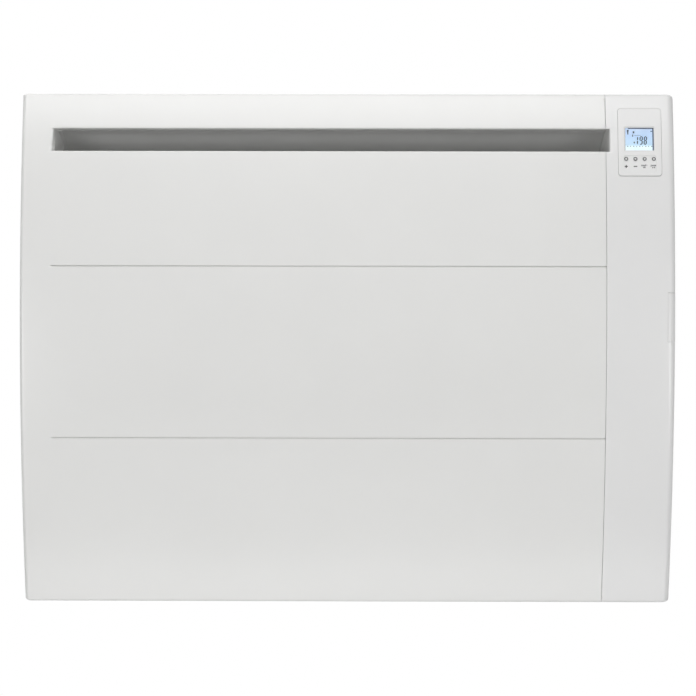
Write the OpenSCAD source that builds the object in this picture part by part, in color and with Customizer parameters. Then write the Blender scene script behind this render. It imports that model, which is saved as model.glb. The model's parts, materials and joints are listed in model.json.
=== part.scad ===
// Wall-hung electric radiator: a sheet steel casing with a bowed front, a warm air
// outlet slot with a curved deflector, and a control column with a small display.
// X runs to the right, Z up, the front faces -Y and the wall is the plane Y = 0.
// The origin is on the wall, at the centre of the four wall screws.

/* [Casing] */
// Width of the casing
casing_w = 740; // [700:1:800]
// Height of the casing
casing_h = 580; // [560:1:620]
// Depth from the back panel to the foremost line of the front
casing_d = 90; // [88:1:105]
// Gap between the back panel and the wall
wall_gap = 18; // [16:1:26]
// Radius of the bowed front
face_r = 1750; // [1600:10:2200]
// Height of the foremost line above the middle of the casing
crest_z = 53; // [30:1:70]
// Thickness of the steel sheet
sheet_t = 1.2; // [1:0.1:1.6]
// Thickness of the thin inner sheets
thin_t = 0.8; // [0.6:0.1:1]
// Rounding of the left front edge
left_edge_r = 5; // [4:0.5:7]
// Rounding of the right front edge
right_edge_r = 8; // [6:0.5:9]
// Rounding of the top and bottom folds
fold_r = 2.5; // [2:0.1:3]
// Corner radius seen from the front, top left
corner_tl_r = 2.2; // [2:0.1:4]
// Corner radius seen from the front, the other three
corner_r = 4.5; // [3.5:0.1:6]

/* [Front panel] */
// Width of the control column
column_w = 78.5; // [76:0.5:84]
// Gap between the front panel and the control column
seam_gap = 0.4; // [0.3:0.1:0.8]
// Distance from the left side to the slot and the grooves
slot_margin = 36; // [30:1:50]
// Distance that the slot reaches into the control column
slot_reach = 5; // [4:0.5:8]
// Distance from the top to the slot
slot_drop = 40; // [36:1:50]
// Height of the outlet slot
slot_h = 26; // [22:1:30]
// Depth of the folded lips round the slot
lip_d = 9; // [7:1:12]
// Height of the upper pressed groove
groove_upper_z = 93; // [60:1:120]
// Height of the lower pressed groove
groove_lower_z = -101; // [-130:1:-80]
// Width of a pressed groove
groove_w = 2.5; // [2:0.1:3.5]
// Depth of a pressed groove
groove_d = 0.9; // [0.6:0.1:1.1]

/* [Outlet and inlet] */
// Inner radius of the curved deflector
scoop_r = 50; // [46:1:52]
// Number of openings in the inlet grille
inlet_count = 56; // [40:1:60]
// Width of one inlet opening
inlet_slot_w = 6; // [4:0.5:7]
// Distance from the lower front edge back to the inlet opening
inlet_front_gap = 14; // [12:1:18]
// Distance from the inlet opening to the flange of the back panel
inlet_back_gap = 5; // [4:0.5:8]

/* [Wall rails] */
// Distance between the wall screws along a rail
screw_pitch_x = 400; // [360:1:430]
// Distance between the screws of the two rails
screw_pitch_z = 300; // [280:1:320]
// Distance from a wall screw to the end of its rail
rail_end = 30; // [20:1:50]
// Height of a rail
rail_h = 40; // [34:1:44]
// Thickness of a rail
rail_t = 2; // [1.5:0.1:2.2]
// Width of a screw slot
screw_slot_w = 6; // [5:0.5:7]
// Length of a screw slot
screw_slot_l = 14; // [12:1:18]
// Distance of each hook from the middle
hook_x = 150; // [120:1:170]
// Width of a hook
hook_w = 30; // [24:1:36]
// Height of a hook's upturned tip
hook_tip_h = 12; // [9:1:12]
// Lift that frees the casing from the hooks
lift = 14; // [14:1:15]

/* [Heating] */
// Height of the heating element's axis above the bottom
element_up = 120; // [110:1:130]
// Distance of the element's axis from the wall
element_y = 60; // [58:1:62]
// Height of the element's fins
element_h = 90; // [80:1:92]
// Depth of the element's fins
element_d = 36; // [30:1:38]
// Diameter of the sheathed rod
rod_d = 10; // [8:0.5:11]
// Distance of the heat shield from the wall
shield_y = 33; // [32:1:34]
// Diameter of the safety cut-out's body
cutout_d = 16; // [14:1:18]

/* [Controls] */
// Thickness of the column's plastic wall
cover_t = 2.5; // [2:0.1:3]
// Width of the display surround
bezel_w = 48.8; // [48:0.1:51]
// Height of the display surround
bezel_h = 77.6; // [76:0.1:80]
// Distance from the top to the middle of the display surround
bezel_drop = 55.2; // [50:0.1:60]
// Distance of the display surround to the left of the column's middle
bezel_shift = 0.9; // [0:0.1:3]
// Thickness of the display surround behind the cover's face
bezel_t = 3; // [2.8:0.1:3.4]
// Height that the display surround stands proud
bezel_rise = 0.5; // [0.3:0.1:0.6]
// Corner radius of the display surround
bezel_r = 3.4; // [2.5:0.1:5]
// Width of the display window
window_w = 32.5; // [30:0.1:34]
// Height of the display window
window_h = 26.3; // [24:0.1:28]
// Height of the window's middle above the surround's middle
window_up = 3.7; // [2:0.1:5]
// Width of the recess round the keys
key_recess_w = 36.4; // [36:0.1:40]
// Height of the recess round the keys
key_recess_h = 19.4; // [16:0.1:20]
// Depth of the recess round the keys
key_recess_d = 0.8; // [0.4:0.1:1]
// Distance of the recess's middle below the surround's middle
key_recess_down = 25.2; // [24:0.1:26]
// Diameter of a key
key_d = 4.6; // [4:0.1:5]
// Distance between keys
key_pitch = 10.4; // [9.8:0.1:10.8]
// Distance of the keys below the surround's middle
key_down = 19.4; // [19:0.1:21]
// Travel of a key
key_travel = 0.6; // [0.4:0.1:0.6]

/* [Power board] */
// Height of the board's tray above the bottom
tray_up = 122; // [118:1:126]
// Height of the tray
tray_h = 136; // [130:1:140]
// Thickness of the tray
tray_t = 2; // [1.6:0.1:2.4]
// Distance from the back panel to the board's front
board_stand = 15.8; // [14:0.1:17]

/* [Side switch] */
// Height of the middle of the switch plate
switch_z = 36.5; // [30:0.5:45]
// Height of the switch plate
switch_plate_h = 55; // [50:1:60]
// Width of the rocker's housing
switch_w = 12.5; // [12:0.1:14]
// Height of the rocker's housing
switch_h = 27; // [26:0.1:30]
// Swing of the rocker from one state to the other
rocker_swing = 16; // [10:1:16]

/* [Hidden] */
$fn = 64;

fit = 0.3;
slip = 0.2;
running = 0.1;
eps = 0.01;
face_fn = 720;

x_left = -casing_w / 2;
x_right = casing_w / 2;
z_top = casing_h / 2;
z_bottom = -casing_h / 2;
back_y = -wall_gap;
back_in_y = back_y - sheet_t;
axis_y = back_y - casing_d + face_r;
seam_x = x_right - column_w;
column_x = seam_x + seam_gap;
column_mid = (column_x + x_right) / 2;
slot_x0 = x_left + slot_margin;
slot_x1 = seam_x + slot_reach;
slot_z1 = z_top - slot_drop;
slot_z0 = slot_z1 - slot_h;
partition_x = seam_x - 7.5;
arc_span = 26;
flange_d = 12;
screw_r = 1.95;
pilot_r = 1.6;

inlet_y0 = face_y(z_bottom) + inlet_front_gap;
inlet_y1 = back_in_y - flange_d - inlet_back_gap;
inlet_x0 = x_left + 14;
inlet_x1 = partition_x - 10;
inlet_rim = 4;
vent_count = 16;
vent_l = 24;
vent_w = 4;
vent_up = 36;
vent_end = 60;

casing_screw_count = 4;
casing_screw_end = 40;
casing_screw_y = back_in_y - flange_d / 2;
casing_screw_xs = [
    for (i = [0 : casing_screw_count - 1])
        x_left + casing_screw_end
            + i * (casing_w - column_w - 1.6 * casing_screw_end) / (casing_screw_count - 1)
];
boss_r = 4;
boss_l = 18;
boss_side = 14.5;
boss_drop = 9.5;
boss_rise = 22;
boss_places = [
    [x_right - boss_side, z_top - boss_drop], [x_right - boss_side, z_bottom + boss_rise],
    [column_x + 12, z_top - boss_drop], [column_x + 12, z_bottom + boss_rise]
];

hook_z = screw_pitch_z / 2 + rail_h / 2;
hook_clear = 2;
hook_front = wall_gap + 7;
lower_hook_slack = 3;

shield_z0 = z_bottom + 55;
shield_z1 = slot_z0 - 40;
slot_rim_y = face_y(slot_z0) + 8;
pocket_drop = 20;
pocket_z0 = slot_z0 - pocket_drop;
pocket_z1 = slot_z1 + 2.2;
partition_inset = 20;
scoop_t = 1;
scoop_zc = slot_z1 + sheet_t - scoop_r;
scoop_yc = back_in_y - scoop_r - scoop_t;
scoop_foot_z = shield_z1 + 2;

element_z = z_bottom + element_up;
element_x0 = slot_x0 + 4;
element_x1 = partition_x - 22;
bush_wall = 4.8;
bush_rim = 2.2;
bracket_t = 1.5;
bracket_x0 = element_x0 - 6.5;
bracket_x1 = element_x1 + 5;
bracket_foot = 14;
bracket_half = element_h / 2 - 3;
bracket_screw_places = [
    for (x = [bracket_x0 - 8, bracket_x1 + bracket_t + 5], s = [-1, 1])
        [x, element_z + s * (bracket_half - 8)]
];
grommet_r = 7;
rod_end_x = bracket_x1 + 8;
pin_off = 2.4;
pin_l = 4;
cutout_z = element_z + 90;
cutout_back_x = partition_x + sheet_t + 11;
cutout_screw_off = 12;
tab_x = partition_x + sheet_t + 16;
lead_r = 1.1;
lead_x = partition_x + 12;

bezel_x = column_mid - bezel_shift;
bezel_z = z_top - bezel_drop;
post_x = bezel_w / 2 - 6.3;
post_places = [for (sx = [-1, 1], z = [bezel_h / 2 - 7.3, 5.8 - bezel_h / 2]) [sx * post_x, z]];
pocket_w = window_w + 4;
pocket_h = window_h + 4;
window_t = 1.2;
lcd_t = 2;
light_t = 3;
key_z = -key_down;
key_xs = [for (i = [-1.5 : 1 : 1.5]) i * key_pitch];
key_flange = 1;
board_front = 12;
board_t = 1.6;
display_board_w = bezel_w - 4.7;
switch_body = 6;
switch_body_h = 3.5;
plunger_r = 1.7;
plunger_front = board_front - switch_body_h - 1.2;
plunger_back = plunger_front + 2.7;

tray_x0 = column_x + 5;
tray_x1 = x_right - 7;
tray_z0 = z_bottom + tray_up;
tray_z1 = tray_z0 + tray_h;
tray_mid = (tray_x0 + tray_x1) / 2;
tray_screw_places = [[tray_mid, tray_z0 + 6], [tray_mid, tray_z1 - 6]];
tray_post_places = [
    for (x = [tray_x0 + 6, tray_x1 - 6], z = [tray_z0 + 12, tray_z1 - 12]) [x, z]
];
power_board_y = back_in_y - board_stand;
relay_size = [16, 15, 29];
relay_x = tray_x1 - 22;
relay_z = tray_z0 + tray_h / 4;
transformer_size = [24, 20, 26];
transformer_z = tray_z1 - 20 - transformer_size[2];
capacitor_sizes = [[5, 14], [4, 10]];
capacitor_pitch = 12;
film_size = [6, 12, 18];
film_drop = 50;
block_ways = 3;
block_pitch = 10;
block_side = 14;
block_x0 = tray_x0 + 15;
block_z0 = tray_z0 + 6;
ribbon_w = 12;
ribbon_t = 0.8;
ribbon_x = column_mid - 5;

plate_z0 = switch_z - switch_plate_h / 2;
plate_z1 = switch_z + switch_plate_h / 2;
plate_front = face_y(switch_z);
plate_x = x_right - 9.3;
plate_back_y = -wall_gap - 36;
plate_t = 2.2;
switch_y = -wall_gap - 57;
switch_out = x_right + 0.2;
pivot_x = switch_out - 4.5;
pivot_r = 1.2;
housing_d = 22;
tab_l = 7;
tab_pitch = 7;
rocker_w = 8.8;
rocker_h = 23;

gland_x = column_mid;
gland_z = z_bottom + 82;
gland_r = 8;
gland_bore_r = 4.2;
gland_inside = 12;
gland_outside = 9;
sensor_x = column_mid;
sensor_y = -wall_gap - 34;
sensor_z = z_bottom + cover_t + 5;
sensor_r = 1.2;
sensor_lead_r = 0.8;

steel_white = [0.95, 0.95, 0.94];
plastic_white = [0.94, 0.94, 0.93];
galvanised = [0.72, 0.73, 0.74];
dark_plastic = [0.2, 0.2, 0.21];

// Y of the bowed face at a height, at a depth inside it
function face_y(z, depth = 0) =
    axis_y - sqrt(pow(face_r - depth, 2) - pow(z - crest_z, 2));

// Angle of the bowed face at a height
function face_tilt(z) = asin((z - crest_z) / face_r);

function unit(v) = v / norm(v);

// The points of a route with its corners rounded by short curves
function bend(a, b, c, r) =
    let (p = b + unit(a - b) * r, q = b + unit(c - b) * r)
    [for (t = [0 : 0.25 : 1]) (1 - t) * (1 - t) * p + 2 * t * (1 - t) * b + t * t * q];

function smooth(p, r) = [
    p[0],
    for (i = [1 : len(p) - 2]) each bend(p[i - 1], p[i], p[i + 1], r),
    p[len(p) - 1]
];

function tangents(p) = [
    for (i = [0 : len(p) - 1]) unit(p[min(i + 1, len(p) - 1)] - p[max(i - 1, 0)])
];

// One normal for each tangent, turned as little as possible from the one before
function normals(t, n, i = 0) =
    i == len(t) ? [] :
    let (m = unit(n - (n * t[i]) * t[i]))
    concat([m], normals(t, m, i + 1));

module face_frame(z) {
    translate([0, axis_y, crest_z])
        rotate([-face_tilt(z), 0, 0])
            translate([0, -face_r, 0])
                children();
}

module bezel_frame() {
    translate([bezel_x, 0, 0])
        face_frame(bezel_z)
            translate([0, 0.2, 0])
                children();
}

// Extrudes an outline drawn in Y and Z along X
module along_x(x0, x1) {
    translate([x0, 0, 0])
        rotate([90, 0, 90])
            linear_extrude(x1 - x0)
                children();
}

// Extrudes an outline drawn in X and Z from y0 forwards to y1
module along_y(y0, y1) {
    translate([0, y0, 0])
        rotate([90, 0, 0])
            linear_extrude(y0 - y1)
                children();
}

module span(x0, x1, y0, y1, z0, z1) {
    translate([x0, y0, z0])
        cube([x1 - x0, y1 - y0, z1 - z0]);
}

// A cylinder along Y from y0 to y1
module pin_y(x, z, r, y0, y1) {
    translate([x, y1, z])
        rotate([90, 0, 0])
            cylinder(r = r, h = y1 - y0);
}

module pin_x(y, z, r, x0, x1) {
    translate([x0, y, z])
        rotate([0, 90, 0])
            cylinder(r = r, h = x1 - x0);
}

module pin_z(x, y, r, z0, z1) {
    translate([x, y, z0])
        cylinder(r = r, h = z1 - z0);
}

// Rectangle with round corners, centred
module round_rect(w, h, r) {
    square([w - 2 * r, h], center = true);
    square([w, h - 2 * r], center = true);
    for (sx = [-1, 1], sz = [-1, 1])
        translate([sx * (w / 2 - r), sz * (h / 2 - r)])
            circle(r);
}

module round_plate(w, h, r, y0, y1) {
    translate([0, y1, 0])
        rotate([90, 0, 0])
            linear_extrude(y1 - y0)
                round_rect(w, h, r);
}

// Slotted hole along X through y0 to y1
module slot_hole(x, z, l, w, y0, y1) {
    span(x - (l - w) / 2, x + (l - w) / 2, y0, y1, z - w / 2, z + w / 2);
    for (s = [-1, 1])
        pin_y(x + s * (l - w) / 2, z, w / 2, y0, y1);
}

// A bent round wire
module wire(points, r, bend_r, sides = 8) {
    p = smooth(points, bend_r);
    t = tangents(p);
    n = normals(t, [0.31, 0.52, 0.79]);
    rings = len(p);
    verts = [
        for (i = [0 : rings - 1], k = [0 : sides - 1])
            p[i] + r * (cos(360 * k / sides) * n[i] + sin(360 * k / sides) * cross(t[i], n[i]))
    ];
    walls = [
        for (i = [0 : rings - 2], k = [0 : sides - 1])
            let (a = i * sides + k, b = i * sides + (k + 1) % sides)
            each [[a, a + sides, b], [b, a + sides, b + sides]]
    ];
    first = [[for (k = [0 : sides - 1]) k]];
    last = [[for (k = [sides - 1 : -1 : 0]) (rings - 1) * sides + k]];
    polyhedron(verts, concat(walls, first, last));
}

// Flat outline behind the bowed face, with round front edges, in radius and X
module edge_profile(depth, x0, x1, r0, r1) {
    outer = face_r - depth;
    inner = face_r - casing_d - 20;
    polygon([
        [inner, x0], [outer - r0, x0], [outer - r0, x0 + r0], [outer, x0 + r0],
        [outer, x1 - r1], [outer - r1, x1 - r1], [outer - r1, x1], [inner, x1]
    ]);
    translate([outer - r0, x0 + r0])
        circle(r0);
    translate([outer - r1, x1 - r1])
        circle(r1);
}

// The space behind the bowed face, depth inside it, over a stretch of X
module behind_face(depth, x0, x1) {
    translate([0, axis_y, crest_z])
        rotate([0, 90, 0])
            translate([0, 0, x0])
                cylinder(r = face_r - depth, h = x1 - x0, $fn = face_fn);
}

module bowed_block(depth) {
    translate([0, axis_y, crest_z])
        rotate([0, 90, 0])
            rotate([0, 0, -90 - arc_span / 2])
                rotate_extrude(angle = arc_span, $fn = face_fn)
                    edge_profile(depth, x_left + depth, x_right - depth,
                        left_edge_r - depth, right_edge_r - depth);
}

// The casing's outline from the front, drawn depth inside it
module front_outline(depth) {
    l = x_left + depth;
    r = x_right - depth;
    t = z_top - depth;
    b = z_bottom + depth;
    tl = max(corner_tl_r - depth, 0.4);
    c = corner_r - depth;
    polygon([
        [l + c, b + c], [l + c, b], [r - c, b], [r - c, b + c], [r, b + c], [r, t - c],
        [r - c, t - c], [r - c, t], [l + tl, t], [l + tl, t - tl], [l, t - tl], [l, b + c]
    ]);
    translate([l + tl, t - tl])
        circle(tl);
    for (p = [[r - c, t - c], [r - c, b + c], [l + c, b + c]])
        translate(p)
            circle(c);
}

// What rounds the fold between the bowed face and the top (s = 1) or bottom (s = -1)
module fold_cut(depth, s) {
    r = max(fold_r - depth, 0.5);
    edge = s > 0 ? z_top - depth : z_bottom + depth;
    zc = edge - s * r;
    yc = face_y(zc, depth + r);
    dir = [yc - axis_y, zc - crest_z] / (face_r - depth - r);
    along_x(x_left - 1, x_right + 1)
        difference() {
            polygon([
                [yc, zc], [yc + 4 * r * dir[0], zc + 4 * r * dir[1]],
                [yc - 4 * r, edge + s * r], [yc, edge + s * r]
            ]);
            translate([yc, zc])
                circle(r);
        }
}

// The space inside the casing's skin, drawn depth inside its outer surface
module casing_block(depth, rear_y) {
    difference() {
        intersection() {
            bowed_block(depth);
            along_y(rear_y, back_y - casing_d - 5)
                front_outline(depth);
        }
        fold_cut(depth, 1);
        fold_cut(depth, -1);
    }
}

module casing_shell(t) {
    difference() {
        casing_block(0, back_y);
        casing_block(t, back_y + 5);
    }
}

module front_panel() {
    color(steel_white)
        difference() {
            union() {
                intersection() {
                    casing_shell(sheet_t);
                    span(x_left - 1, seam_x, back_y - casing_d - 1, back_y + 1,
                        z_bottom - 1, z_top + 1);
                }
                panel_lips();
                groove_rib(groove_upper_z);
                groove_rib(groove_lower_z);
            }
            span(slot_x0, seam_x + 1, back_y - casing_d - 1, face_y(slot_z0) + 5, slot_z0, slot_z1);
            groove_cut(groove_upper_z);
            groove_cut(groove_lower_z);
            inlet_opening();
            for (x = casing_screw_xs)
                pin_z(x, casing_screw_y, screw_r + running, z_bottom - 1, z_bottom + sheet_t + 1);
        }
}

// The folded lips round the slot and the flange along the seam
module panel_lips() {
    skin = sheet_t / 2;
    top_y = face_y(slot_z1) + skin;
    low_y = face_y(slot_z0) + skin;
    span(slot_x0 - sheet_t, seam_x, top_y, top_y + lip_d, slot_z1, slot_z1 + sheet_t);
    span(slot_x0 - sheet_t, seam_x, low_y, low_y + lip_d, slot_z0 - sheet_t, slot_z0);
    span(slot_x0 - sheet_t, slot_x0, low_y, top_y + lip_d, slot_z0 - sheet_t, slot_z1 + sheet_t);
    for (z = [[z_bottom + 12, slot_z0 - 12], [slot_z1 + 8, z_top - 6]])
        intersection() {
            casing_block(skin, back_y);
            difference() {
                span(seam_x - sheet_t, seam_x, back_y - casing_d, back_y, z[0], z[1]);
                behind_face(11, seam_x - 5, seam_x + 5);
            }
        }
}

module groove_cut(z) {
    face_frame(z)
        span(slot_x0, seam_x + 1, -1, groove_d, -groove_w / 2, groove_w / 2);
}

module groove_rib(z) {
    face_frame(z)
        span(slot_x0 - sheet_t, seam_x, sheet_t - 0.2, groove_d + sheet_t,
            -groove_w / 2 - 1, groove_w / 2 + 1);
}

module inlet_opening() {
    span(inlet_x0, inlet_x1, inlet_y0, inlet_y1, z_bottom - 1, z_bottom + sheet_t + 0.5);
}

module back_panel() {
    color(galvanised)
        difference() {
            union() {
                span(x_left + sheet_t + slip, seam_x, back_in_y, back_y,
                    z_bottom + sheet_t + slip, z_top - sheet_t - slip);
                span(seam_x - 1, x_right - cover_t - slip, back_in_y, back_y,
                    z_bottom + cover_t + slip, z_top - cover_t - slip);
                back_flanges();
            }
            for (s = [-1, 1]) {
                hook_window(s * hook_x, hook_z, 0);
                hook_window(s * hook_x, hook_z - screw_pitch_z, lower_hook_slack);
            }
            for (i = [0 : vent_count - 1])
                slot_hole(x_left + vent_end
                    + i * (casing_w - column_w - 2 * vent_end) / (vent_count - 1),
                    z_bottom + vent_up, vent_l, vent_w, back_in_y - 1, back_y + 1);
            for (p = boss_places)
                pin_y(p[0], p[1], screw_r + 0.2, back_in_y - 1, back_y + 1);
            for (p = tray_screw_places)
                pin_y(p[0], p[1], screw_r + 0.2, back_in_y - 1, back_y + 1);
            pin_y(gland_x, gland_z, gland_r + 0.2, back_in_y - 1, back_y + 1);
            for (x = casing_screw_xs)
                pin_z(x, casing_screw_y, screw_r + running, z_bottom, z_bottom + 6);
            corner_notches();
        }
}

// The forward flanges on the left, the top and the bottom
module back_flanges() {
    f0 = back_in_y - flange_d;
    gap = sheet_t + slip;
    span(x_left + gap, x_left + gap + sheet_t, f0, back_in_y, z_bottom + 12, z_top - 12);
    span(x_left + 12, partition_x - 2, f0, back_in_y, z_top - gap - sheet_t, z_top - gap);
    span(x_left + 12, partition_x - 2, f0, back_in_y, z_bottom + gap, z_bottom + gap + sheet_t);
}

module corner_notches() {
    for (p = [[x_left, z_top], [x_left, z_bottom], [x_right, z_top], [x_right, z_bottom]])
        span(p[0] - 8, p[0] + 8, back_in_y - 1, back_y + 1, p[1] - 8, p[1] + 8);
}

// The window for a hook at a height, tall enough for the tip once the casing is lifted
module hook_window(x, z, slack) {
    span(x - hook_w / 2 - hook_clear, x + hook_w / 2 + hook_clear, back_in_y - 1, back_y + 1,
        z - rail_t - lift - hook_clear, z + slack);
}

module wall_rail(z) {
    half = screw_pitch_x / 2 + rail_end;
    web_z = z - rail_h;
    reach = wall_gap - 0.2;
    difference() {
        union() {
            span(-half, half, -rail_t, 0, web_z, z);
            span(-half, half, -reach, -rail_t + eps, z - rail_t, z);
            span(-half, half, -reach, -rail_t + eps, web_z, web_z + rail_t);
            for (s = [-1, 1]) {
                span(s * hook_x - hook_w / 2, s * hook_x + hook_w / 2, -hook_front, -reach + eps,
                    z - rail_t, z);
                span(s * hook_x - hook_w / 2, s * hook_x + hook_w / 2, -hook_front - rail_t,
                    -hook_front + eps, z - rail_t, z + hook_tip_h);
            }
        }
        for (s = [-1, 1])
            slot_hole(s * screw_pitch_x / 2, z - rail_h / 2, screw_slot_l, screw_slot_w,
                -rail_t - 1, 1);
    }
}

module upper_wall_rail() {
    color(galvanised)
        wall_rail(hook_z);
}

module lower_wall_rail() {
    color(galvanised)
        wall_rail(hook_z - screw_pitch_z);
}

// A quarter ring that curves from the top of the slot down to the back panel
module scoop_ring(r_in, r_out) {
    translate([scoop_yc, scoop_zc])
        intersection() {
            difference() {
                circle(r_out);
                circle(r_in);
            }
            square(scoop_r + 10);
        }
}

module air_deflector() {
    color(steel_white)
        along_x(slot_x0, slot_x1 - fit) {
            scoop_ring(scoop_r, scoop_r + scoop_t);
            translate([face_y(slot_z1) + 3, scoop_zc + scoop_r])
                square([scoop_yc - face_y(slot_z1) - 3, scoop_t]);
            translate([back_in_y - scoop_t, scoop_foot_z])
                square([scoop_t, scoop_zc - scoop_foot_z]);
        }
}

module deflector_end_plate() {
    front = face_y(slot_z1) + sheet_t / 2 + lip_d;
    color(steel_white) {
        span(slot_x0 - sheet_t, slot_x0, front, back_in_y, scoop_foot_z, scoop_zc + scoop_r + scoop_t);
        along_x(slot_x0 - eps, slot_x0 + 4)
            scoop_ring(scoop_r - 0.8, scoop_r);
    }
}

module inlet_grille() {
    z0 = z_bottom + sheet_t;
    pitch = (inlet_x1 - inlet_x0) / inlet_count;
    color(steel_white)
        difference() {
            span(inlet_x0 - inlet_rim, inlet_x1 + inlet_rim, inlet_y0 - inlet_rim,
                inlet_y1 + inlet_rim, z0, z0 + thin_t);
            for (i = [0 : inlet_count - 1]) {
                x = inlet_x0 + (i + 0.5) * pitch;
                span(x - inlet_slot_w / 2, x + inlet_slot_w / 2, inlet_y0 + 2, inlet_y1 - 2,
                    z0 - 1, z0 + thin_t + 1);
            }
        }
}

module heat_shield() {
    x0 = element_x0 - 20;
    x1 = partition_x - 8;
    color([0.8, 0.81, 0.82])
        difference() {
            union() {
                span(x0, x1, -shield_y, -shield_y + thin_t, shield_z0, shield_z1);
                span(x0, x1, -shield_y + thin_t - eps, back_in_y, shield_z1 - thin_t, shield_z1);
                span(x0, x1, -shield_y + thin_t - eps, back_in_y, shield_z0, shield_z0 + thin_t);
            }
            for (p = bracket_screw_places)
                pin_y(p[0], p[1], pilot_r, -shield_y - 1, -shield_y + thin_t + 1);
        }
}

module control_partition() {
    color(galvanised)
        difference() {
            union() {
                intersection() {
                    span(partition_x, partition_x + sheet_t, back_y - casing_d, back_in_y,
                        z_bottom + 6, pocket_z0);
                    behind_face(14, partition_x - 1, partition_x + 9);
                }
                span(partition_x + sheet_t - eps, partition_x + 10, back_in_y - sheet_t, back_in_y,
                    z_bottom + partition_inset, slot_z0 - 2 * pocket_drop - 4);
            }
            span(partition_x - 1, partition_x + sheet_t + 1, back_in_y - scoop_t - slip, back_y,
                scoop_foot_z - slip, slot_z0);
            pin_x(-element_y, element_z, grommet_r, partition_x - 1, partition_x + sheet_t + 1);
            pin_x(-element_y, cutout_z, cutout_d / 2 + slip, partition_x - 1, partition_x + sheet_t + 1);
            for (s = [-1, 1])
                pin_x(-element_y + s * cutout_screw_off, cutout_z, pilot_r, partition_x - 1,
                    partition_x + sheet_t + 1);
        }
}

module control_cover() {
    color(plastic_white)
        difference() {
            union() {
                intersection() {
                    casing_shell(cover_t);
                    span(column_x, x_right + 1, back_y - casing_d - 1, back_y + 1,
                        z_bottom - 1, z_top + 1);
                }
                cover_flange();
                slot_rim();
                for (p = boss_places)
                    pin_y(p[0], p[1], boss_r, face_y(p[1]) + 1.5, back_in_y - 0.1);
            }
            span(column_x - 1, slot_x1, back_y - casing_d - 1, face_y(slot_z0) + 6, slot_z0, slot_z1);
            for (p = boss_places)
                pin_y(p[0], p[1], screw_r + 0.05, back_in_y - boss_l, back_in_y + 1);
            bezel_frame()
                round_plate(bezel_w + 2 * fit, bezel_h + 2 * fit, bezel_r + fit, -5, cover_t + 2);
            switch_cutout();
            for (i = [-3 : 3])
                span(column_mid + i * 7 - 1.5, column_mid + i * 7 + 1.5, -wall_gap - 44,
                    -wall_gap - 24, z_bottom - 1, z_bottom + cover_t + 1);
        }
}

// The stiffening flange along the seam, inside the cover
module cover_flange() {
    for (z = [[z_bottom + 8, slot_z0 - 3], [slot_z1 + 3, z_top - 6]])
        intersection() {
            casing_block(1, back_y);
            difference() {
                span(column_x, column_x + 1.5, back_y - casing_d, back_y, z[0], z[1]);
                behind_face(12, column_x - 5, column_x + 5);
            }
        }
}

// The rim of the outlet slot where it reaches into the column
module slot_rim() {
    intersection() {
        casing_block(1, back_y);
        union() {
            span(slot_x1, slot_x1 + 2, back_y - casing_d, slot_rim_y, slot_z0 - 2, pocket_z1);
            span(column_x, slot_x1 + 1, face_y(slot_z0) + 1, slot_rim_y, slot_z0 - 2, slot_z0);
            span(column_x, slot_x1 + 1, face_y(slot_z1) + 1, face_y(slot_z1) + 2.8, slot_z1,
                pocket_z1);
        }
    }
}

// The wall behind that rim, which stands on the partition and closes the outlet duct
module outlet_end_wall() {
    color(steel_white) {
        span(slot_x1, slot_x1 + sheet_t, slot_rim_y, back_in_y - 6, pocket_z0, pocket_z1);
        span(partition_x, slot_x1 + eps, slot_rim_y + 3, back_in_y - 6, pocket_z0,
            pocket_z0 + sheet_t);
    }
}

module casing_screws() {
    color(galvanised)
        for (x = casing_screw_xs) {
            pin_z(x, casing_screw_y, 3.6, z_bottom - 1.8, z_bottom);
            pin_z(x, casing_screw_y, screw_r, z_bottom - eps, z_bottom + 9);
        }
}

module cover_screws() {
    color(galvanised)
        for (p = boss_places) {
            pin_y(p[0], p[1], 3.6, back_y, back_y + 2);
            pin_y(p[0], p[1], screw_r, back_in_y - boss_l + 4, back_y + eps);
        }
}

module element_fins() {
    color([0.78, 0.79, 0.8])
        along_x(element_x0, element_x1)
            translate([-element_y, element_z])
                difference() {
                    union() {
                        circle(rod_d / 2 + 3);
                        for (a = [0, 1], b = [0, 1])
                            mirror([a, 0])
                                mirror([0, b])
                                    element_arm();
                    }
                    circle(rod_d / 2 + 0.15);
                }
}

// One of the four slanting arms with its fins
module element_arm() {
    tip = [element_d / 2 - 2.5, element_h / 2];
    polygon([[2, 5], [5, 2], [tip[0] + 2.5, tip[1]], [tip[0], tip[1]]]);
    for (k = [0.35, 0.55, 0.75, 0.92])
        translate([tip[0] * k, tip[1] * k])
            square([element_d / 2 - tip[0] * k, 1.4]);
}

module element_rod() {
    color([0.55, 0.56, 0.58])
        pin_x(-element_y, element_z, rod_d / 2, bracket_x0 - 6, rod_end_x);
}

module element_bushes() {
    color([0.93, 0.91, 0.87])
        for (x = [bracket_x0, bracket_x1])
            difference() {
                pin_x(-element_y, element_z, rod_d / 2 + bush_wall, x - bush_rim,
                    x + bracket_t + bush_rim);
                pin_x(-element_y, element_z, rod_d / 2 + 0.15, x - 4, x + bracket_t + 4);
            }
}

module element_brackets() {
    z0 = element_z - bracket_half;
    z1 = element_z + bracket_half;
    color(galvanised)
        for (k = [0, 1]) {
            x = k == 0 ? bracket_x0 : bracket_x1;
            foot_x0 = k == 0 ? x - bracket_foot : x + bracket_t - eps;
            foot_x1 = k == 0 ? x + eps : x + bracket_t + 10;
            difference() {
                union() {
                    span(x, x + bracket_t, -element_y - 22, -shield_y, z0, z1);
                    span(foot_x0, foot_x1, -shield_y - bracket_t, -shield_y, z0, z1);
                }
                pin_x(-element_y, element_z, rod_d / 2 + bush_wall + 0.2, x - 1, x + bracket_t + 1);
                for (p = bracket_screw_places)
                    pin_y(p[0], p[1], pilot_r, -shield_y - 3, -shield_y + 1);
            }
        }
}

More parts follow.
